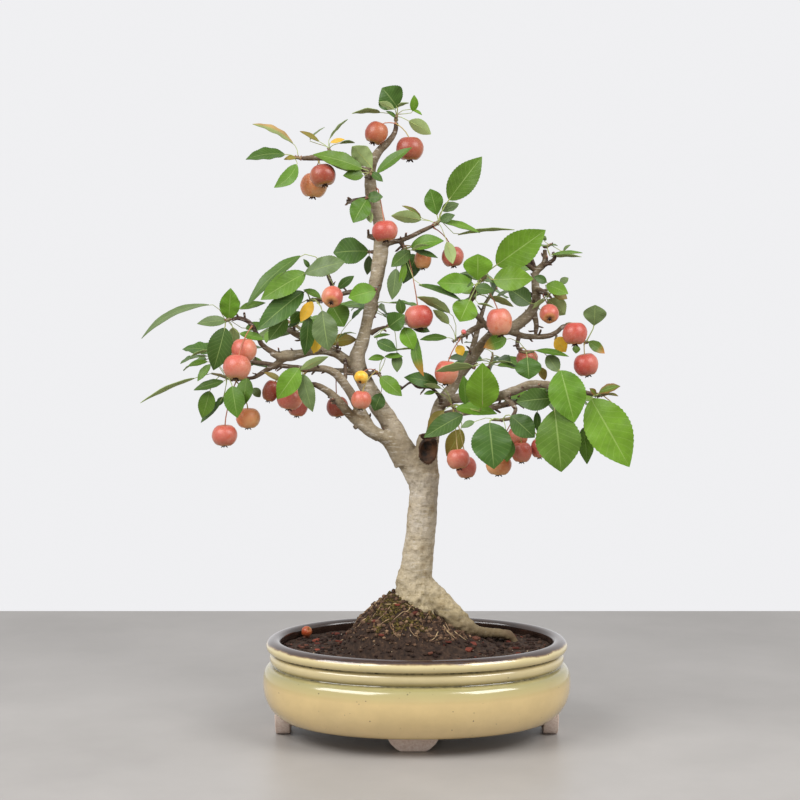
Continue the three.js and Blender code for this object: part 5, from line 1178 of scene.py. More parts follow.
for _, rows in WOOD[SPURLESS:]:
    rows = np.array(stations_of(rows, CROWN_DEPTH))
    length = np.linalg.norm(np.diff(rows[:, :3], axis=0), axis=1).sum() / MM
    for _ in range(round(length / SPUR_EVERY)):
        t = wood_dice.uniform(0.12, 0.97)
        here, ahead = smooth_at(rows, t), smooth_at(rows, min(t + 0.03, 1))
        along = Vector(ahead[:3] - here[:3]).normalized()
        out = any_way()
        out = (out - along * out.dot(along)).normalized() * 0.8 + along * 0.5 + Vector((0, 0, 0.25))
        out.normalize()  # away from the stem, a little forward and up
        at, radius = Vector(here[:3]), here[3]
        reach = wood_dice.uniform(2.0, 6.5) * MM
        end = at + out * (radius + reach)
        girth = wood_dice.uniform(0.9, 1.5)
        spur = lay_tube(STALK, [[*at, girth * MM], [*at.lerp(end, 0.6), girth * 0.95 * MM],
                                [*end, girth * 0.8 * MM]], SPUR_SHADE)
        slender.append(spur)
        for _ in range(wood_dice.choice((1, 2, 3))):
            bud(end + any_way() * 0.5 * MM, (out + any_way() * 0.5).normalized(), girth * 0.95)
for _, stations, *_ in SHOOTS + BACK_SHOOTS:
    rows = deepen(stations, stations[0][2])
    for x, z, y, radius in rows[:2]:
        for _ in range(5):
            out = any_way()
            bud(place(x, z, y) + out * radius * 0.75 * MM, (out + Vector((0, 0, 0.5))).normalized(),
                wood_dice.uniform(1.0, 1.9) * min(radius / 1.6, 1.1))
print(len(slender), "twigs and spurs,", len(scales), "bud scales")

# %% [markdown]
# The stout stems are joined. The remesh forgets the painted girth, so it is looked up afterwards: each new
# corner takes that of the nearest corner before.

# %% Fusing the stout stems
trunk = joined(stout, "wood")
laid, laid_shade = corners_of(trunk), tint_of(trunk)
tree_of_corners = kdtree.KDTree(len(laid))
for i, corner in enumerate(laid):
    tree_of_corners.insert(corner, i)
tree_of_corners.balance()
VOXEL = 1.25 * MM
apply(trunk, "REMESH", mode="VOXEL", voxel_size=VOXEL)

# %% [markdown]
# The pruned stump beside the fork has rotted hollow: a cup in its top, cut out with a tapered plug, runs into
# an open wound at its front, cut out with a stretched ball.

# %% The stump's cup and wound
STUMP_TOP = place(12, 303, -9 * CROWN_DEPTH)
CUP = STUMP_TOP + Vector((-0.5, 0, -4)) * MM
CUP_SIZE = (9.2, 9.2, 13)  # of the part painted as rot and as the shade in the hollow
CUP_LEAN = 22  # degrees
WOUND = place(12, 287, -25)
WOUND_SIZE = (9.5, 9, 12)
let_go()
bpy.ops.mesh.primitive_cone_add(vertices=20, radius1=4.5 * MM, radius2=8.6 * MM, depth=20 * MM,
                                location=CUP, rotation=(math.radians(CUP_LEAN), 0, 0))
plug = bpy.context.object
bpy.ops.mesh.primitive_uv_sphere_add(segments=20, ring_count=12, radius=MM, location=WOUND)
ball = bpy.context.object
ball.scale = WOUND_SIZE
for cutter in (plug, ball):
    hold(cutter)
    bpy.ops.object.transform_apply(location=True, rotation=True, scale=True)
    apply(trunk, "BOOLEAN", operation="DIFFERENCE", object=cutter, solver="EXACT")
    bpy.data.objects.remove(cutter)
apply(trunk, "SMOOTH", factor=0.5, iterations=3)

# %% Bulges, ridges and knots
FLARE_TOP, FLARE_HEIGHT = 165, 35  # the roots' flare, more gnarled than the trunk, in millimetres
FLARE_GNARL, WOUND_GNARL = 1.3, 2.2
BULGE, KNOT, RIDGE = 19, 5.5, (3.1, 3.1, 8.5)  # sizes of the forms on the bark, in millimetres


def within(corner, centre, size, reach):
    """Whether a corner lies in an egg around the centre; reach is a squared share of the egg's size."""
    return sum(((corner[k] - centre[k]) / (size[k] * MM)) ** 2 for k in range(3)) < reach


def roughened(obj, shade_at, least=0.0):
    """Moves the corners in and out along their normals, more where the stem is thick."""
    corners, normals = corners_of(obj), corners_of(obj, "normal")
    shades = np.empty((len(corners), 4))
    for i, corner in enumerate(corners):
        shades[i] = shade_at(corner, i)
        girth = max(shades[i][0] * GIRTH_SCALE, least)
        inside = within(corner, WOUND, WOUND_SIZE, 1.6) or within(corner, CUP, CUP_SIZE, 1.0)
        shades[i][1] = 1.0 if inside else 0.0  # the material shows rot and painted shade there
        p = Vector(corner) / MM
        flare = min(max((FLARE_TOP - corner[2] / MM) / FLARE_HEIGHT, 0), 1)
        gnarl = WOUND_GNARL if inside else 1 + FLARE_GNARL * flare
        bulge = noise.fractal(p / BULGE, 1.0, 2.0, 2) * 0.085 * girth
        knot = noise.fractal(p / KNOT, 1.0, 2.2, 2) * 0.075 * girth ** 0.8
        ridge = noise.noise(Vector([c / size for c, size in zip(p, RIDGE)])) * 0.04 * girth
        corners[i] += normals[i] * (bulge + (knot + ridge) * gnarl) * MM
    move_corners(obj, corners)
    paint(obj, shades)


roughened(trunk, lambda corner, i: laid_shade[tree_of_corners.find(corner)[1]])
twigs = joined(slender, "twigs")
twig_shade = tint_of(twigs)
KNOBBLY = 4.5  # twigs are as rough as a stem of this radius
roughened(twigs, lambda corner, i: twig_shade[i], least=KNOBBLY)
print("trunk and limbs", len(trunk.data.polygons), "faces; twigs", len(twigs.data.polygons))

# %% [markdown]
# ** Crabapple bark.** Old bark is grey-tan and fairly smooth, with olive and brown clouds, fine cracks and
# short breathing pores that lie across the stem. Young twigs are a dark red-brown. The painted girth decides
# between them. Dark flecks of earth lie on the flare at the bottom. The wood is painted darker towards the
# soil and round the fork: painted shade. The rot in the hollow stump is painted nearly black, partly painted
# shade.

# %% Bark
FORK = place(4, 290, -8)
bark, tree, shader = begin_material("crabapple_bark", Roughness=0.78, Specular_IOR_Level=0.35)
coords = put(tree, "TexCoord").outputs["Object"]
girth = put(tree, "SeparateColor", {"Color": put(tree, "Attribute", attribute_name="tint").outputs["Color"]})
cloud = put(tree, "TexNoise", {"Vector": coords, "Scale": 45.0, "Detail": 5.0, "Roughness": 0.6}).outputs[0]
grain = put(tree, "TexNoise", {"Vector": coords, "Scale": 520.0, "Detail": 5.0, "Roughness": 0.65}).outputs[0]
flat = put(tree, "Mapping", {"Vector": coords, "Scale": (1.0, 1.0, 4.0)}).outputs["Vector"]
bands = put(tree, "TexNoise", {"Vector": flat, "Scale": 120.0, "Detail": 4.0, "Roughness": 0.6}).outputs[0]
age = put(tree, "MapRange", {0: cloud, 1: 0.3, 2: 0.7, 3: -0.05, 4: 0.05}).outputs[0]
age = put(tree, "Math", {0: girth.outputs["Red"], 1: age}, operation="ADD").outputs[0]
tone = put(tree, "ValToRGB", {"Fac": age}, stops=[
    (0.07, "42302a"), (0.12, "5e4d3d"), (0.19, "7d705c"), (0.32, "978b76"), (0.5, "aea18d"), (0.8, "c2b6a3")])
clouds = put(tree, "ValToRGB", {"Fac": cloud}, stops=[
    (0.30, "b39c70"), (0.43, "f0ebdc"), (0.62, "ffffff"), (0.74, "c4be96")])
tone = put(tree, "Mix", {0: 0.8, 6: tone.outputs["Color"], 7: clouds.outputs["Color"]},
           data_type="RGBA", blend_type="MULTIPLY").outputs[2]
pores = put(tree, "MapRange", {0: bands, 1: 0.57, 2: 0.70, 3: 0.0, 4: 0.6}).outputs[0]
silver = put(tree, "MapRange", {0: bands, 1: 0.44, 2: 0.32, 3: 0.0, 4: 0.5}).outputs[0]
tone = put(tree, "Mix", {0: silver, 6: tone, 7: linear("dad3c8")}, data_type="RGBA").outputs[2]
tone = put(tree, "Mix", {0: pores, 6: tone, 7: linear("5a4a38")}, data_type="RGBA").outputs[2]
fine = put(tree, "ValToRGB", {"Fac": grain}, stops=[(0.3, 0.8), (0.62, 1.08)]).outputs["Color"]
tone = put(tree, "Mix", {0: 1.0, 6: tone, 7: fine}, data_type="RGBA", blend_type="MULTIPLY").outputs[2]
height = put(tree, "SeparateXYZ", {0: coords}).outputs["Z"]
low = put(tree, "MapRange", {0: height, 1: 0.205, 2: 0.125, 3: 0.35, 4: 1.0}).outputs[0]
torn = put(tree, "TexNoise", {"Vector": coords, "Scale": 210.0, "Detail": 6.0, "Roughness": 0.7}).outputs[0]
flecks = put(tree, "MapRange", {0: torn, 1: 0.55, 2: 0.66, 3: 0.0, 4: 0.85}).outputs[0]
flecks = put(tree, "Math", {0: flecks, 1: low}, operation="MULTIPLY").outputs[0]
tone = put(tree, "Mix", {0: flecks, 6: tone, 7: linear("55452f")}, data_type="RGBA").outputs[2]
olive = put(tree, "MapRange", {0: height, 1: 0.205, 2: 0.125, 3: 0.0, 4: 1.0}).outputs[0]
olive = put(tree, "Math", {0: olive, 1: cloud}, operation="MULTIPLY").outputs[0]
tone = put(tree, "Mix", {0: olive, 6: tone, 7: linear("94824f")}, data_type="RGBA").outputs[2]
# Towards the soil the wood is painted darker: painted shade where the roots go under.
root_painted_shade = put(tree, "MapRange", {0: height, 1: 0.132, 2: 0.098, 3: 0.0, 4: 1.6}).outputs[0]
root_painted_shade = put(tree, "Math", {0: root_painted_shade, 1: cloud}, operation="MULTIPLY").outputs[0]
tone = put(tree, "Mix", {0: root_painted_shade, 6: tone, 7: linear("5e4c38")}, data_type="RGBA").outputs[2]
# Round the fork the bark is painted darker: painted shade where the limbs part.
away = put(tree, "VectorMath", {0: coords, 1: FORK}, operation="DISTANCE").outputs["Value"]
fork_painted_shade = put(tree, "MapRange", {0: away, 1: 0.018, 2: 0.040, 3: 0.55, 4: 0.0}).outputs[0]
tone = put(tree, "Mix", {0: fork_painted_shade, 6: tone, 7: linear("6b5c42")}, data_type="RGBA").outputs[2]
# Rotten wood in the stump's cup and wound, nearly black: partly its own colour, partly painted shade in the
# hollow.
rot_and_painted_shade = put(tree, "ValToRGB", {"Fac": cloud}, stops=[(0.42, "1a110b"), (0.6, "573820")]).outputs["Color"]
tone = put(tree, "Mix", {0: girth.outputs["Green"], 6: tone, 7: rot_and_painted_shade}, data_type="RGBA").outputs[2]
tree.links.new(tone, shader.inputs["Base Color"])
relief = put(tree, "Math", {0: grain, 1: bands}, operation="ADD").outputs[0]
bump = put(tree, "Bump", {"Height": relief, "Strength": 0.55, "Distance": 0.7 * MM})
tree.links.new(bump.outputs["Normal"], shader.inputs["Normal"])

bud_skin = grained("dry_bud_scales", 800.0, 3.0, 0.5, [(0.3, 0.6), (0.7, 1.3)], True, Roughness=0.7)
done(joined([trunk, twigs], "trunk_limbs_and_twigs"), ["trunk_and_branches"], "bark", bark, smooth=50)
done(joined(scales, "bud_scales"), [], "bark", bud_skin, smooth=80)

# %% [markdown]
# ## Leaves
# A crabapple leaf is an oval blade with a fine-toothed margin, folded a little along its midrib, arched from
# base to tip and rippled. Its form is a formula: a point of the master is taken by how far across and along
# the blade it lies. The stalk leaves the shoot upwards, bends, and runs on under the blade as its midrib.
# Each leaf of the table has its colour by the letter in its shoot's word; the darker and brighter
# greens are partly painted shade and light.

# %% Tones of the leaves
# d, m and b are one green from dark to bright: partly the leaves' own tones, partly painted shade and light as
# each leaf was lit.
TONES = {  # of the upper face
    "d": "456226", "m": "587a28", "b": "668c26", "g": "627648", "p": "7c9148", "y": "dcae32", "o": "79702c",
    "r": "5c7828", "t": "7d8a50", "x": "5c7c2c",
}
UNDERSIDE, UNDER_SHARE = "a9b97e", 0.7
EDGES = {"o": "8a6a35", "r": "8c4a2e", "t": "b08a58", "x": "c8803a"}  # a second colour, at the margin or tip
LEAF_TONES = {
    "crown_tip": "dppdbbpp", "lateral_end": "tdom", "lateral_mid": "ogygg", "leader_high": "mpmpmd",
    "leader_mid": "mdp", "spur_right": "prmmgdmpp", "spur_centre": "mbdddbgd", "leader_left": "dg",
    "left_upper": "dmgdd", "left_centre": "dmdgmmdd", "leader_elbow": "b", "limb_left_up": "ddoy",
    "far_left_high": "bdggdmmpm", "far_left_low": "pmmpdmddmmg", "left_low": "bpgo", "centre_low": "dbmm",
    "centre_mid": "dddbxdgpd", "right_low": "dpmbdombo", "limb_right": "pp", "twig_centre": "ppdy",
    "right_upper": "bbddbbbpg", "right_top": "mpgggg", "right_shoulder": "dbogppd", "right_mid": "gxm",
    "right_inner": "mdgox", "low_front": "dmdg", "low_right": "ddbmr", "low_right_end": "bmrrr",
    "yellow_leaf_left": "y", "yellow_leaf_right": "y",
}
leaf_dice = random.Random(21)

# %% The leaf's formulas
BLUNT, POINTED = 0.74, 0.2  # ends blunter than a sine's, and the tip more pointed by this
FOLD, RIPPLE = 0.14, 0.05  # as shares of the half-width
BLADE = 0.26 * MM  # half the thickness
PETIOLE = 0.75 * MM  # radius of the stalk
OFF_AXIS, END_CLEAR = 0.7 * MM, 1.5 * MM  # how far it starts from the shoot's axis, and from its ends
RISE, ENTER = 0.25, 0.35  # shares of its length that it first climbs and last runs along the blade
RIGHTWARD = 0.3  # how much a leaf's upper side looks right rather than up
SHORT, BENT = 3 * MM, 6 * MM  # a blade this near its root sits on it: always, or if it points away
FULL_WIDTH = 26 * MM  # leaves this wide have the thickest stalks
STALK_TINT = linear("9aa860")
BROAD, NARROW = 16, 8  # leaves wider than these take the broad and the narrow master, in millimetres


def bezier(a, b, c, d, t):
    """The place on a cubic curve from a to d."""
    return a * (1 - t) ** 3 + b * 3 * t * (1 - t) ** 2 + c * 3 * t * t * (1 - t) + d * t ** 3


def nearest_on(points, p):
    """The nearest place on a line of points: its distance, its length from the start, itself."""
    best, before = (math.inf, 0, points[0]), 0
    for a, b in zip(points, points[1:]):
        along = b - a
        share = min(max((p - a).dot(along) / along.length_squared, 0), 1)
        spot = a + along * share
        if (p - spot).length < best[0]:
            best = ((p - spot).length, before + share * along.length, spot)
        before += along.length
    return best, before


def root_on(points, p, turn):
    """Where a leaf's stalk leaves its shoot."""
    (_, nearest, _), total = nearest_on(points, p)
    at = min(max((nearest + turn * total) / 2, END_CLEAR), total - END_CLEAR)
    for a, b in zip(points, points[1:]):
        if at <= (b - a).length or b is points[-1]:
            centre = a.lerp(b, at / (b - a).length)
            return centre + (p - centre).normalized() * OFF_AXIS
        at -= (b - a).length


def blade_frame(base, tip, turn):
    """A blade's long axis, its upper side's normal, and its side."""
    axis = (tip - base).normalized()
    seen = Vector((0, -1, 0)) - axis * axis.dot((0, -1, 0))
    seen.normalize()
    up = axis.cross(seen)
    if up.z + RIGHTWARD * up.x < 0:
        up.negate()
    normal = seen * math.cos(math.radians(turn)) + up * math.sin(math.radians(turn))
    return axis, normal, axis.cross(normal)


def blade_colours(corners, tone):
    """A tone for each corner of a blade, lighter or darker by leaf, with its second colour if it has one."""
    lift = leaf_dice.uniform(0.86, 1.16)
    warm = leaf_dice.uniform(0.93, 1.08)
    first = np.array(linear(TONES[tone])[:3]) * lift * (warm, 1, 1)
    colours = np.tile(first, (len(corners), 1))
    u, s = corners[:, 0], (corners[:, 1] + 1) / 2
    if tone in EDGES:
        second = np.array(linear(EDGES[tone])[:3])
        share = {"o": s ** 2 * 0.7, "r": np.abs(u) ** 3 * 0.8, "t": (u > 0.05) * 0.85,
                 "x": np.clip(s * 2.2 - 1.2, 0, 1)}[tone]
        colours += (second - colours) * share[:, None]
    upper = (corners[:, 2] > 0).astype(float)
    return np.column_stack([colours, upper])


def make_blade(base, tip, width, frame_of, arch, sweep, widest, tone):
    """A copy of a leaf master laid between base and tip; sizes in metres."""
    axis, normal, side = [np.array(v) for v in frame_of]
    wide = width / MM
    master = BROAD_LEAF if wide > BROAD else NARROW_LEAF if wide > NARROW else SMALL_LEAF
    corners = corners_of(master)
    u, s = corners[:, :1], (corners[:, 1:2] + 1) / 2
    bulge = 4 * s * (1 - s)
    along = np.array(tip - base) + normal * 4 * arch * (1 - 2 * s)
    along /= np.linalg.norm(along, axis=1)[:, None]
    face = np.cross(side, along)
    warped = s ** (math.log(0.5) / math.log(widest))
    half = width / 2 * np.clip(np.sin(np.pi * warped), 0, 1) ** (BLUNT + POINTED * s * s)
    half = np.maximum(half, PETIOLE * 0.8 * (1 - s))
    mid = np.array(base) + np.array(tip - base) * s + normal * arch * bulge + side * sweep * bulge
    waves, phase = leaf_dice.uniform(2.0, 3.4), leaf_dice.uniform(0, math.tau)
    ripple = RIPPLE * leaf_dice.uniform(0.4, 1.5) * np.sin(waves * math.tau * s + phase + u * 1.3) * u * u
    lift = np.abs(u) ** 1.25 * half * FOLD + ripple * half
    placed = mid + side * u * half + face * (lift + corners[:, 2:3] * BLADE)
    return copy_of(master, placed, blade_colours(corners, tone))


def make_leaf(root, base, tip, width, turn, arch, sweep, widest, tone):
    """A blade and its stalk, which runs on under it as the midrib."""
    frame_of = blade_frame(base, tip, turn)
    axis, normal, side = frame_of
    reach = (base - root).length
    if reach < SHORT or (reach < BENT and (base - root).normalized().dot(axis) > 0.8):
        base = root
    blade = make_blade(base, tip, width, frame_of, arch, sweep, widest, tone)
    rise, enter = root + Vector((0, 0, RISE * reach)), base - axis * ENTER * reach
    girth = min(max(width / FULL_WIDTH, 0.55), 1.0)
    stations = [[*bezier(root, rise, enter, base, t), r * girth * MM]
                for t, r in ((0, 1.15), (0.12, 0.85), (0.4, 0.68), (0.7, 0.64))] if base != root else []
    for s, r in ((0, 0.68), (0.2, 0.52), (0.45, 0.38), (0.7, 0.22), (0.9, 0.1)):
        bulge = 4 * s * (1 - s)
        under = normal * (-BLADE - r * girth * 0.35 * MM)
        spot = base.lerp(tip, s) + normal * arch * bulge + side * sweep * bulge + under * min(1, s * 8)
        stations.append([*spot, r * girth * MM])
    return [blade, lay_tube(STALK, stations, STALK_TINT)]


print("leaf tones for", sum(len(word) for word in LEAF_TONES.values()), "leaves")

# %% [markdown]
# **Leaf.** A waxy skin over green flesh: a soft sheen, light that passes through where the sun is behind it,
# side veins that curve to the margin, and a paler, duller underside. The leaf's own map gives the veins; the
# painted alpha tells the upper face from the lower.

# %% Leaf, stalk
leaf_skin, tree, shader = begin_material("waxy_leaf", IOR=1.45, Specular_IOR_Level=0.3)
own = put(tree, "Attribute", attribute_name="tint")
uv = put(tree, "SeparateXYZ", {0: put(tree, "TexCoord").outputs["UV"]})
centred = put(tree, "Math", {0: uv.outputs["X"], 1: 0.5}, operation="SUBTRACT").outputs[0]
off = put(tree, "Math", {0: centred}, operation="ABSOLUTE").outputs[0]
rows = put(tree, "Math", {0: uv.outputs["Y"], 1: 10.0}, operation="MULTIPLY").outputs[0]
sloped = put(tree, "Math", {0: off, 1: -4.2, 2: rows}, operation="MULTIPLY_ADD").outputs[0]
curved = put(tree, "Math", {0: sloped}, operation="FRACT").outputs[0]
from_vein = put(tree, "Math", {0: curved, 1: 0.5}, operation="SUBTRACT").outputs[0]
from_vein = put(tree, "Math", {0: from_vein}, operation="ABSOLUTE").outputs[0]
side_vein = put(tree, "MapRange", {0: from_vein, 1: 0.11, 2: 0.02, 3: 0.0, 4: 0.24}).outputs[0]
midrib = put(tree, "MapRange", {0: off, 1: 0.026, 2: 0.008, 3: 0.0, 4: 0.9}).outputs[0]
vein = put(tree, "Math", {0: side_vein, 1: midrib}, operation="MAXIMUM").outputs[0]
coords = put(tree, "TexCoord").outputs["Object"]
blotch = put(tree, "TexNoise", {"Vector": coords, "Scale": 90.0, "Detail": 4.0, "Roughness": 0.6}).outputs[0]
fine = put(tree, "TexNoise", {"Vector": coords, "Scale": 900.0, "Detail": 3.0, "Roughness": 0.6}).outputs[0]
patch = put(tree, "ValToRGB", {"Fac": blotch}, stops=[(0.3, 0.84), (0.7, 1.15)]).outputs["Color"]
green = put(tree, "Mix", {0: 1.0, 6: own.outputs["Color"], 7: patch}, data_type="RGBA",
            blend_type="MULTIPLY").outputs[2]
light = put(tree, "Mix", {0: 0.5, 6: green, 7: linear("b4c878")}, data_type="RGBA").outputs[2]
weight = put(tree, "Math", {0: vein, 1: 0.75}, operation="MULTIPLY").outputs[0]
upper = put(tree, "Mix", {0: weight, 6: green, 7: light}, data_type="RGBA").outputs[2]
pale = put(tree, "Mix", {0: UNDER_SHARE, 6: green, 7: linear(UNDERSIDE)}, data_type="RGBA").outputs[2]
both = put(tree, "Mix", {0: own.outputs["Alpha"], 6: pale, 7: upper}, data_type="RGBA").outputs[2]
tree.links.new(both, shader.inputs["Base Color"])
dull = put(tree, "MapRange", {0: own.outputs["Alpha"], 1: 0.0, 2: 1.0, 3: 0.7, 4: 0.36}).outputs[0]
tree.links.new(dull, shader.inputs["Roughness"])
sunk = put(tree, "Math", {0: vein, 1: -1.0, 2: fine}, operation="MULTIPLY_ADD").outputs[0]
bump = put(tree, "Bump", {"Height": sunk, "Strength": 0.35, "Distance": 0.5 * MM})
tree.links.new(bump.outputs["Normal"], shader.inputs["Normal"])
through = put(tree, "BsdfTranslucent", {"Color": both})
glow = put(tree, "MixShader", {0: 0.18})
tree.links.new(shader.outputs[0], glow.inputs[1])
tree.links.new(through.outputs[0], glow.inputs[2])
tree.links.new(glow.outputs[0], tree.nodes["Material Output"].inputs["Surface"])

green_stalk, tree, shader = begin_material("green_stalk_skin", Roughness=0.5)
own = put(tree, "Attribute", attribute_name="tint").outputs["Color"]
coords = put(tree, "TexCoord").outputs["Object"]
blush = put(tree, "TexNoise", {"Vector": coords, "Scale": 130.0, "Detail": 3.0}).outputs["Fac"]
share = put(tree, "MapRange", {0: blush, 1: 0.48, 2: 0.72, 3: 0.0, 4: 0.6}).outputs[0]
tone = put(tree, "Mix", {0: share, 6: own, 7: linear("8a5a40")}, data_type="RGBA").outputs[2]
tree.links.new(tone, shader.inputs["Base Color"])

for master in (BROAD_LEAF, NARROW_LEAF, SMALL_LEAF):
    master.data.materials.append(leaf_skin)
for master in (STALK, THIN_STEM):
    master.data.materials.append(green_stalk)

# %% [markdown]
# ## The shoots
# Thirty pieces at the front, two of them single yellow leaves, bear the leaves of the table. Six more at the
# back carry theirs in a spiral, as a crabapple does: each leaf stands 137.5 degrees further round than the
# one before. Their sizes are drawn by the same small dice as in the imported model, so the leaves stand in the
# same places.

# %% Shoots from the table
def make_shoot(name, stations, leaves, slot="leaf"):
    """Joins a shoot's stem and leaves into the finished piece."""
    rows = [[*place(x, z, y), radius * MM] for x, z, y, radius in stations]
    pieces = [lay_tube(THIN_STEM, rows, linear("6f6a45"))] + leaves
    return done(joined(pieces, name + "_leaves"), [name], slot, smooth=60)


for name, stations, rows in SHOOTS:
    start = stations[0][2]
    stations = deepen(stations, start)
    points = [place(x, z, y) for x, z, y, _ in stations]
    leaves = []
    for i, (row, tone) in enumerate(zip(rows, LEAF_TONES[name])):
        (bx, bz, by), (tx, tz, ty) = deepen([row[:3], row[3:6]], start)
        form = dict(zip(("width", "turn", "arch", "sweep", "widest"), (0, 0, 1, 0, 0.45)))
        form.update(zip(form, row[6:]))
        base = place(bx, bz, by)
        leaves += make_leaf(root_on(points, base, (i + 0.5) / len(rows)), base, place(tx, tz, ty),
                            form["width"] * spread(by) * MM, form["turn"], form["arch"] * MM,
                            form["sweep"] * MM, form["widest"], tone)
    yellow = name.startswith("yellow")
    make_shoot(name if yellow else "shoot_" + name, stations, leaves, "yellow_leaf" if yellow else "leaf")


# %% Shoots in a spiral
def draws(seed):
    """Numbers from 0 to 1 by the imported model's rule."""
    state = seed
    while True:
        state = (state * 1103515245 + 12345) % 2147483648
        yield state / 2147483648


def draw(least, span):
    """The next number by the shoot's dice, between least and least + span."""
    return least + span * next(dice)


ROUND_THE_STEM = 137.5  # degrees from leaf to leaf

for name, stations, seed, count, reach in BACK_SHOOTS:
    dice = draws(seed)
    stations = deepen(stations, stations[0][2])
    points = [place(x, z, y) for x, z, y, _ in stations]
    leaves = []
    for i in range(count):
        s = (i + 0.5) / count
        start = bezier(points[0], points[1], points[1], points[2], s)
        heading = math.radians(ROUND_THE_STEM * i + draw(0, 40))
        out = Vector((math.cos(heading), math.sin(heading), draw(-0.35, 0.9))).normalized()
        length = reach * draw(0.6, 0.4)
        base = start + out * draw(8, 8) * MM
        tip = base + out * length * MM - Vector((0, 0, length * 0.2)) * MM
        width = length * draw(0.42, 0.14)
        leaves += make_leaf(root_on(points, base, s), base, tip, width * MM, draw(55, 30), 2.5 * MM, 0, 0.45,
                            leaf_dice.choice("dmmdbg"))
    make_shoot("shoot_" + name, stations, leaves)
print("shoots", len(SHOOTS) + len(BACK_SHOOTS))

# %% [markdown]
# ## Crabapples
# Each apple is a copy of the master, turned to its own axis, with its dry calyx below and a long thin stalk
# that leaves the wood, arches and enters the hollow on top. The side that had the sun is red, the other side
# stays orange or yellow. One small apple has fallen and lies on the soil.

# %% Tones of the apples
# B is a darker red: partly the apples' own colour, partly painted shade for those that hang in shade.
APPLE_TONES = {  # the sunny side, the shaded side
    "R": ("ac4c42", "d08c78"), "C": ("b86153", "d69e7e"), "O": ("cc7c50", "dcb078"),
    "Y": ("e0b43a", "e8cf6a"), "B": ("8f4638", "b0704a"), "K": ("c9606a", "b08a50"),
    "F": ("a04c2c", "b87442"),
}
APPLE_WORDS = {
    "tip": "BB", "lateral": "BO", "leader": "R", "spur_right": "C", "far_left_front": "CC",
    "left_centre": "C", "centre": "RO", "right_upper": "C", "twig_centre": "CK", "right_shoulder": "C",
    "right_twig": "R", "right_mid": "R", "right_inner": "C", "far_left_low": "CO", "left_low": "BCC",
    "behind_limb": "B", "fork": "CY", "low_centre": "CC", "low_front": "OCCC", "low_right_end": "R",
    "fallen_on_soil": "F",
}
fruit_dice = random.Random(8)
GAP, STALK_RADIUS = 0.3, 0.85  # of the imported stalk: the gap to its stem, and its radius


def stem_line(rows):
    """A stem's places and radii, in metres."""
    return [place(x, z, y) for x, z, y, _ in rows], [row[3] * MM for row in rows]


STEM_LINES = [stem_line([[x, z, y * CROWN_DEPTH, r] for x, z, y, r in rows]) for _, rows in WOOD]
STEM_LINES += [stem_line(deepen(stations, stations[0][2])) for _, stations, _ in SHOOTS]


def beside_stem(p):
    """The place beside the nearest stem where a fruit stalk starts, and the place on the stem's axis."""
    least, spot, axis_spot = math.inf, None, None
    for points, radii in STEM_LINES:
        for a, b, ra, rb in zip(points, points[1:], radii, radii[1:]):
            along = b - a
            share = min(max((p - a).dot(along) / along.length_squared, 0), 1)
            near, radius = a + along * share, ra + (rb - ra) * share
            if (p - near).length - radius < least:
                least = (p - near).length - radius
                out = (p - near).normalized()
                spot, axis_spot = near + out * (radius + (GAP + STALK_RADIUS) * MM), near + out * radius * 0.6
    return spot, axis_spot


STALK_FOOT, STALK_STUB = 0.6, 1.5  # where a stalk ends, and a torn one starts, in half-heights
FULL_SIZE = 8 * MM  # apples of this radius or more have the thickest stalks
LEAST_LUMPY = 4 * MM  # smaller apples are round


def make_apple(row, junction, tone):
    """An apple with its calyx, and its stalk from the stem at the junction. The row is in millimetres."""
    x, z, y, size, height, ax, az, ay = row
    centre = place(x, z, y)
    radius, half = size * spread(y) * MM, height * spread(y) * MM
    axis = Vector((ax, ay, az)).normalized()
    side = axis.cross(Vector((0.2, 1, 0.1))).normalized()
    other = axis.cross(side)
    turn = np.array([side, other, axis])
    pieces = []
    sunny, shaded = [np.array(linear(c)[:3]) for c in APPLE_TONES[tone]]
    corners = corners_of(APPLE)
    toward = Vector((fruit_dice.uniform(-0.8, 0.8), fruit_dice.uniform(-1, 0.2), fruit_dice.uniform(0.2, 1)))
    grown = corners * (radius, radius, half)
    placed = grown @ turn + np.array(centre)
    facing = (placed - np.array(centre)) @ np.array(toward.normalized()) / radius
    share = np.clip(0.62 + 0.5 * facing, 0, 1)[:, None]
    colours = np.column_stack([shaded + (sunny - shaded) * share, corners[:, 2] * 0.5 + 0.5])
    if radius > LEAST_LUMPY:
        wobble = 1 + 0.03 * np.sin(5 * np.arctan2(corners[:, 1], corners[:, 0]) + 1) * (corners[:, 2] < 0)
        placed = (grown * wobble[:, None]) @ turn + np.array(centre)
    pieces.append(copy_of(APPLE, placed, colours))
    pieces.append(copy_of(CALYX, (corners_of(CALYX) * (radius, radius, half)) @ turn + np.array(centre)))
    foot = centre + axis * half * STALK_FOOT
    girth = min(1, radius / FULL_SIZE)
    if junction is None:
        head = leave = centre + axis * half * STALK_STUB
        stations = []
    else:
        head, start = beside_stem(junction)
        leave = head + Vector((0, 0, 0.04 * (head - foot).length))
        stations = [[*start, 1.3 * girth * MM]]
    enter = foot + axis * 0.4 * (head - foot).length
    stations += [[*bezier(head, leave, enter, foot, t), r * girth * MM]
                 for t, r in ((0, 0.95), (0.25, 0.6), (0.5, 0.55), (0.75, 0.58), (1, 0.75))]
    pieces.append(lay_tube(STALK, stations, linear("9c8a4a" if fruit_dice.random() < 0.5 else "a5664a")))
    return pieces


# %% [markdown]
# **Crabapple skin.** A thin wax over firm flesh: a soft clear gloss, streaks of red over the ground colour,
# a greenish-yellow ring at the calyx and pale breathing pores. The calyx is dry and nearly black.

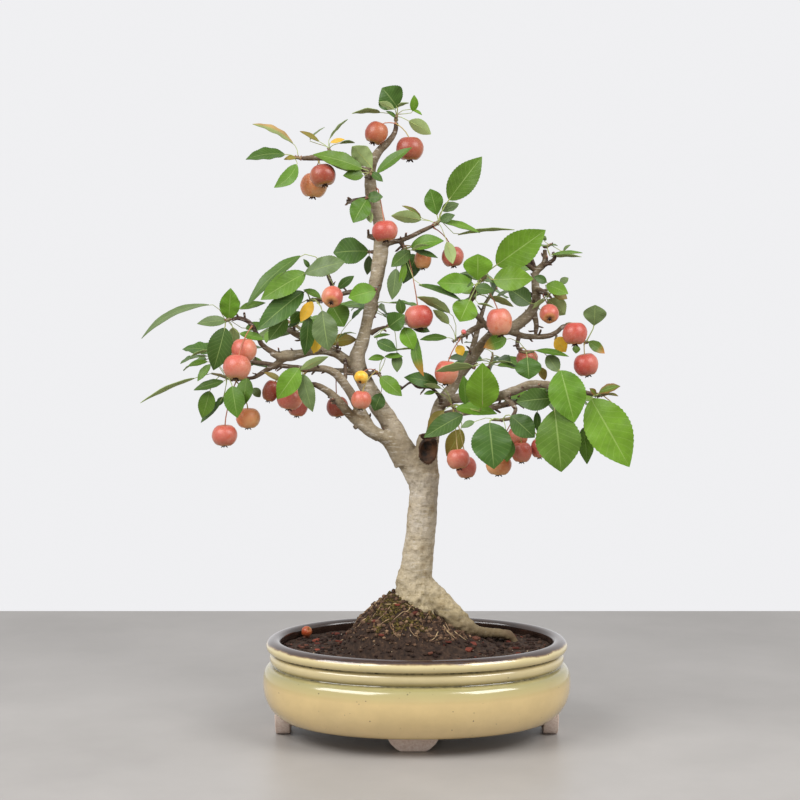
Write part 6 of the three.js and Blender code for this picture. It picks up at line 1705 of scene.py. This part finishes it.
# %% Apple skin and dry calyx
apple_skin, tree, shader = begin_material("crabapple_skin", Roughness=0.34, IOR=1.42, Subsurface_Weight=0.08,
                                          Subsurface_Radius=(0.006, 0.002, 0.001), Subsurface_Scale=1.0)
own = put(tree, "Attribute", attribute_name="tint")
coords = put(tree, "TexCoord").outputs["Object"]
streak = put(tree, "TexNoise", {"Vector": coords, "Scale": 110.0, "Detail": 5.0,
                                "Roughness": 0.62}).outputs[0]
mottle = put(tree, "ValToRGB", {"Fac": streak}, stops=[(0.3, "f0b884"), (0.5, "ffffff"), (0.7, "f6cdc0")])
skin = put(tree, "Mix", {0: 0.75, 6: own.outputs["Color"], 7: mottle.outputs["Color"]}, data_type="RGBA",
           blend_type="MULTIPLY").outputs[2]
pore = put(tree, "TexVoronoi", {"Vector": coords, "Scale": 620.0}).outputs["Distance"]
pale = put(tree, "MapRange", {0: pore, 1: 0.10, 2: 0.26, 3: 0.3, 4: 0.0}).outputs[0]
skin = put(tree, "Mix", {0: pale, 6: skin, 7: linear("ecc79a")}, data_type="RGBA").outputs[2]
ring = put(tree, "MapRange", {0: own.outputs["Alpha"], 1: 0.16, 2: 0.03, 3: 0.0, 4: 0.55}).outputs[0]
skin = put(tree, "Mix", {0: ring, 6: skin, 7: linear("c9a04e")}, data_type="RGBA").outputs[2]
hollow = put(tree, "MapRange", {0: own.outputs["Alpha"], 1: 0.95, 2: 1.0, 3: 0.0, 4: 0.4}).outputs[0]
skin = put(tree, "Mix", {0: hollow, 6: skin, 7: linear("b98a48")}, data_type="RGBA").outputs[2]
tree.links.new(skin, shader.inputs["Base Color"])
bump = put(tree, "Bump", {"Height": streak, "Strength": 0.08, "Distance": 0.5 * MM})
tree.links.new(bump.outputs["Normal"], shader.inputs["Normal"])

dry_calyx = grained("dry_calyx", 700.0, 3.0, 0.5, [(0.3, "2a1d15"), (0.7, "594031")], Roughness=0.9)
APPLE.data.materials.append(apple_skin)
CALYX.data.materials.append(dry_calyx)

# %% Bunches
for name, junction, rows in FRUIT:
    start = place(*deepen([junction], junction[2])[0]) if junction else None
    rows = deepen(rows, junction[2]) if junction else rows
    pieces = []
    for row, tone in zip(rows, APPLE_WORDS[name]):
        pieces += make_apple(row, start, tone)
    done(joined(pieces, "fruit_" + name + "_apples"), ["fruit_" + name], "apple", smooth=60)
print("bunches", len(FRUIT))

# %% [markdown]
# ## Putting the masters away and measuring
# The masters were only patterns, so they go. The box of the dressed model is printed.

# %% The end
let_go()
for master in masters:
    bpy.data.objects.remove(master)
low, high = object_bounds()
print("visual box", [round(v, 4) for v in (*low, *high)])
